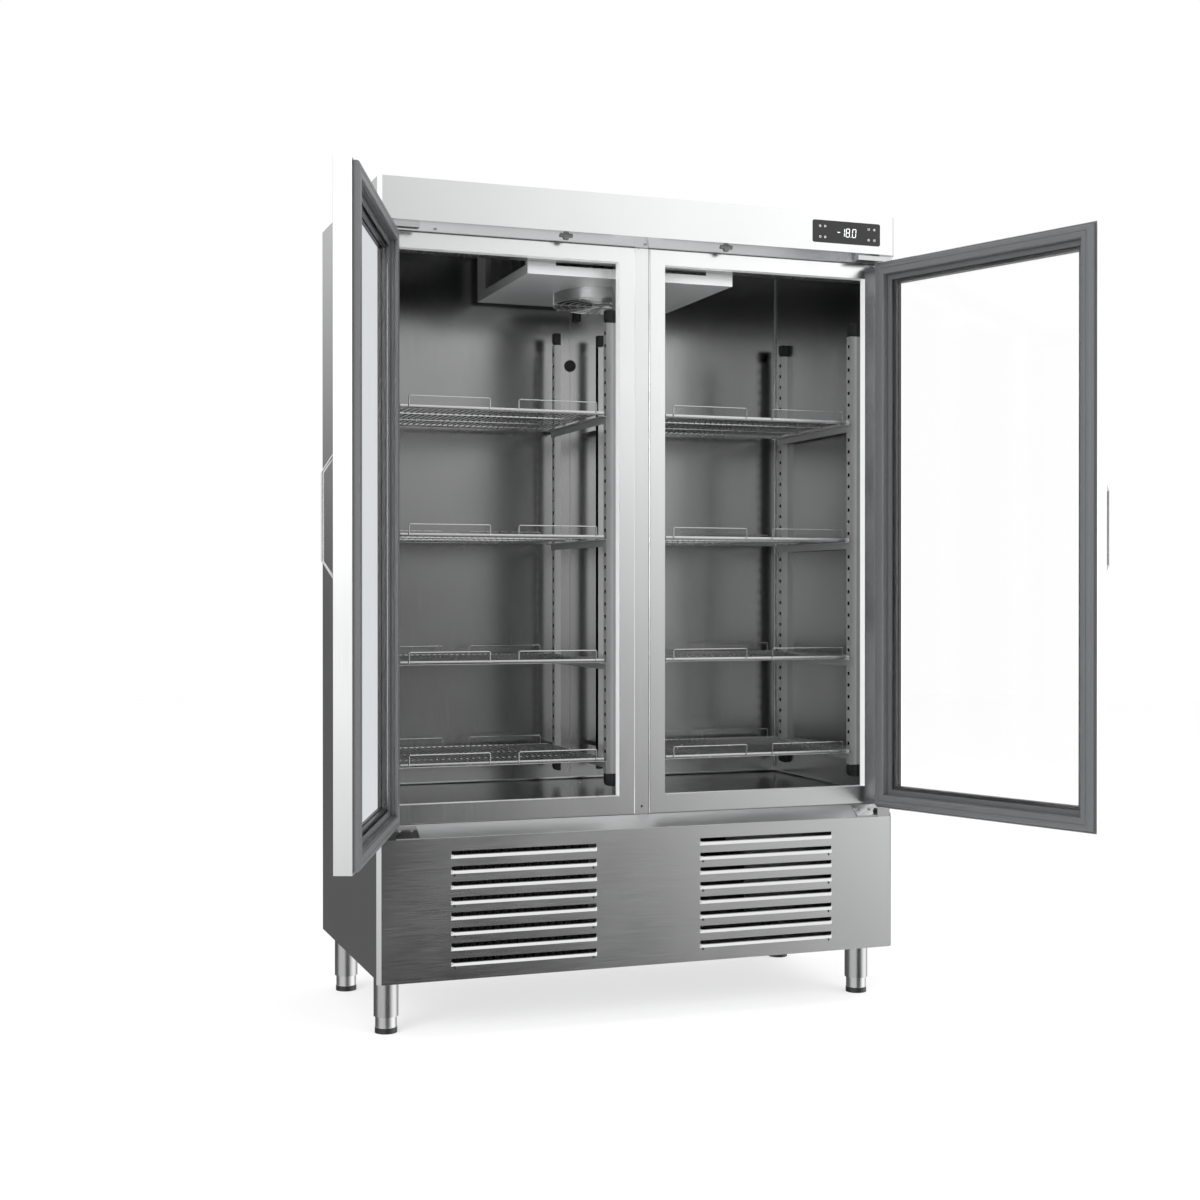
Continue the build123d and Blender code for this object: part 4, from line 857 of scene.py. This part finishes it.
# Small dark screws at the ends of every second louvre, and one near the foot of the mullion strip
LOUVRE_MID_X, LOUVRE_TOP, LOUVRE_PITCH, PANEL_Y = 0.32595, 0.4524, 0.0372, FRONT + 0.0127
SCREW_OUT, SCREW_DROP = 0.178, 0.0221
louvre_screws = []
for side in (-1, 1):
    for row in (1, 3, 5, 7):
        for end in (-1, 1):
            x = side * LOUVRE_MID_X + end * SCREW_OUT
            z = LOUVRE_TOP - row * LOUVRE_PITCH - SCREW_DROP
            louvre_screws.append(screw_head((x, PANEL_Y, z), (0, -1, 0), 0.0026, 0.0012))
louvre_screws.append(screw_head((0.0, FRONT + 0.063, 0.534), (0, -1, 0), 0.003, 0.0014))
piece("louvre_screws", louvre_screws, black_plastic, "cabinet")


# ---------------------------------------------------------------- studio

# Heights of a mirrored direction (-1 down, 1 up), and how far each counts towards the room's bright side
ROOM_PROFILE = (
    (-0.30, -0.39), (-0.17, -0.225), (-0.065, -0.15), (0.0, -0.11), (0.07, 0.01), (0.112, 0.10), (0.22, 0.10),
    (0.30, 0.13), (0.60, 0.36), (0.76, 0.40), (0.93, -0.02), (1.0, -0.20),
)


def make_world():
    """White for the camera and through glass. Metal mirrors a soft room: bright at the right, high in front, at
    the left and on the floor, dimmer low in the middle, straight up and behind."""
    world = bpy.data.worlds.new("studio_room")
    bpy.context.scene.world = world
    world.use_nodes = True
    tree = world.node_tree
    shader = node_of(tree, "BACKGROUND")
    x, y, z = axes(tree, tree.nodes.new("ShaderNodeTexCoord").outputs["Generated"])
    profile = tree.nodes.new("ShaderNodeValToRGB")
    low, high = ROOM_PROFILE[0][0], ROOM_PROFILE[-1][0]
    steps = profile.color_ramp.elements
    lift = 0.5  # a colour can't be negative
    for k, (height, weight) in enumerate(ROOM_PROFILE):
        place = (height - low) / (high - low)
        step = steps[0] if k == 0 else steps[-1] if k == len(ROOM_PROFILE) - 1 else steps.new(place)
        step.position = place
        step.color = (weight + lift, weight + lift, weight + lift, 1)
    share = math_node(tree, "DIVIDE", math_node(tree, "SUBTRACT", z, low), high - low)
    tree.links.new(share, profile.inputs[0])
    slant = math_node(tree, "ADD", x, math_node(tree, "SUBTRACT", profile.outputs[0], lift))
    front = ramp(tree, slant, -0.06, 0.64, 0.0, 1.6)
    back = math_node(tree, "ADD", ramp(tree, z, -0.02, 0.32, 0.12, 0.85), ramp(tree, x, 0.1, 0.6, 0.0, 0.4))
    behind = ramp(tree, y, -0.1, 0.35)
    before = math_node(tree, "SUBTRACT", 1.0, behind)
    middle = math_node(tree, "ADD", math_node(tree, "MULTIPLY", front, before),
                       math_node(tree, "MULTIPLY", back, behind))
    leftward = math_node(tree, "MULTIPLY", x, -1.0)
    left = math_node(tree, "MULTIPLY", ramp(tree, leftward, 0.22, 0.44), ramp(tree, z, -0.35, 0.15, 0.45, 1.6))
    left = math_node(tree, "MULTIPLY", left, before)
    ground = ramp(tree, z, -0.60, -0.32, 1.2, 0.0)
    room = math_node(tree, "MAXIMUM", math_node(tree, "MAXIMUM", middle, left), ground)
    rays = tree.nodes.new("ShaderNodeLightPath")
    clear = math_node(tree, "MAXIMUM", rays.outputs["Is Camera Ray"], rays.outputs["Is Transmission Ray"])
    other = math_node(tree, "SUBTRACT", 1.0, clear)
    strength = math_node(tree, "ADD", clear, math_node(tree, "MULTIPLY", other, room))
    tree.links.new(strength, shader.inputs["Strength"])
    shader.inputs["Color"].default_value = (1, 1, 1, 1)


def make_floor():
    """Pale floor: a plain disc of rings. It glows by half for the camera, so it is white where nothing shades
    it and keeps the cabinet's shadow."""
    points, faces = turned([(0, 0.0), (2.0, 0.0), (6.0, 0.0), (14.0, 0.0), (14.0, -0.01), (0, -0.01)],
                           (0, 0, -0.0002), (0, 0, 1), 64)
    mesh = bpy.data.meshes.new("floor")
    mesh.from_pydata(points.tolist(), [], [row.tolist() for block in faces for row in np.asarray(block)])
    material, tree, shader, place = blank_material("floor_paint")
    skin = use_group(tree, SKIN, place, Fineness=60.0, Depth=0.0)
    paint = shade(tree, skin.outputs["Patches"], (0.955, 0.955, 0.955), (0.965, 0.965, 0.965))
    tree.links.new(paint, shader.inputs["Base Color"])
    shader.inputs["Roughness"].default_value = 0.9
    shader.inputs["Specular IOR Level"].default_value = 0.0
    rays = tree.nodes.new("ShaderNodeLightPath")
    seen = math_node(tree, "MAXIMUM", rays.outputs["Is Camera Ray"], rays.outputs["Is Transmission Ray"])
    glow = tree.nodes.new("ShaderNodeEmission")
    glow.inputs["Strength"].default_value = 1.0
    whole = blend(tree, math_node(tree, "MULTIPLY", seen, 0.5), shader, glow)
    tree.links.new(whole.outputs[0], node_of(tree, "OUTPUT_MATERIAL").inputs["Surface"])
    mesh.materials.append(material)
    floor = bpy.data.objects.new("floor", mesh)
    bpy.context.scene.collection.objects.link(floor)
    floor.visible_glossy = False


def soft_lamp(name, place, aim, size, power):
    """A square of light that lights the cabinet but isn't mirrored in it."""
    data = bpy.data.lights.new(name, "AREA")
    data.shape = "RECTANGLE"
    data.size, data.size_y = size
    data.energy = power
    lamp = bpy.data.objects.new(name, data)
    lamp.location = place
    lamp.rotation_euler = (Vector(aim) - Vector(place)).to_track_quat("-Z", "Y").to_euler()
    lamp.visible_glossy = False
    bpy.context.scene.collection.objects.link(lamp)


make_world()
make_floor()
soft_lamp("key_lamp", (2.6, -4.2, 3.4), (0, 0, 1.0), (2.4, 2.4), 60)
soft_lamp("left_lamp", (-4.0, -3.2, 2.2), (0, 0, 1.0), (2.4, 2.4), 130)
soft_lamp("top_lamp", (0.0, 0.2, 4.6), (0, 0, 1.0), (4.0, 3.0), 60)

camera_data = bpy.data.cameras.new("photo_camera")
camera_data.lens = 51.966
camera_data.sensor_width = 36.0
camera_data.clip_start, camera_data.clip_end = 0.05, 60
camera = bpy.data.objects.new("photo_camera", camera_data)
camera.location = (-1.5919, -4.0402 + FRONT, 1.0741)
camera.rotation_euler = Euler((math.radians(89.788), 0, math.radians(-19.823)), "XYZ")
bpy.context.scene.collection.objects.link(camera)
bpy.context.scene.camera = camera
bpy.context.scene.view_settings.view_transform = "Standard"
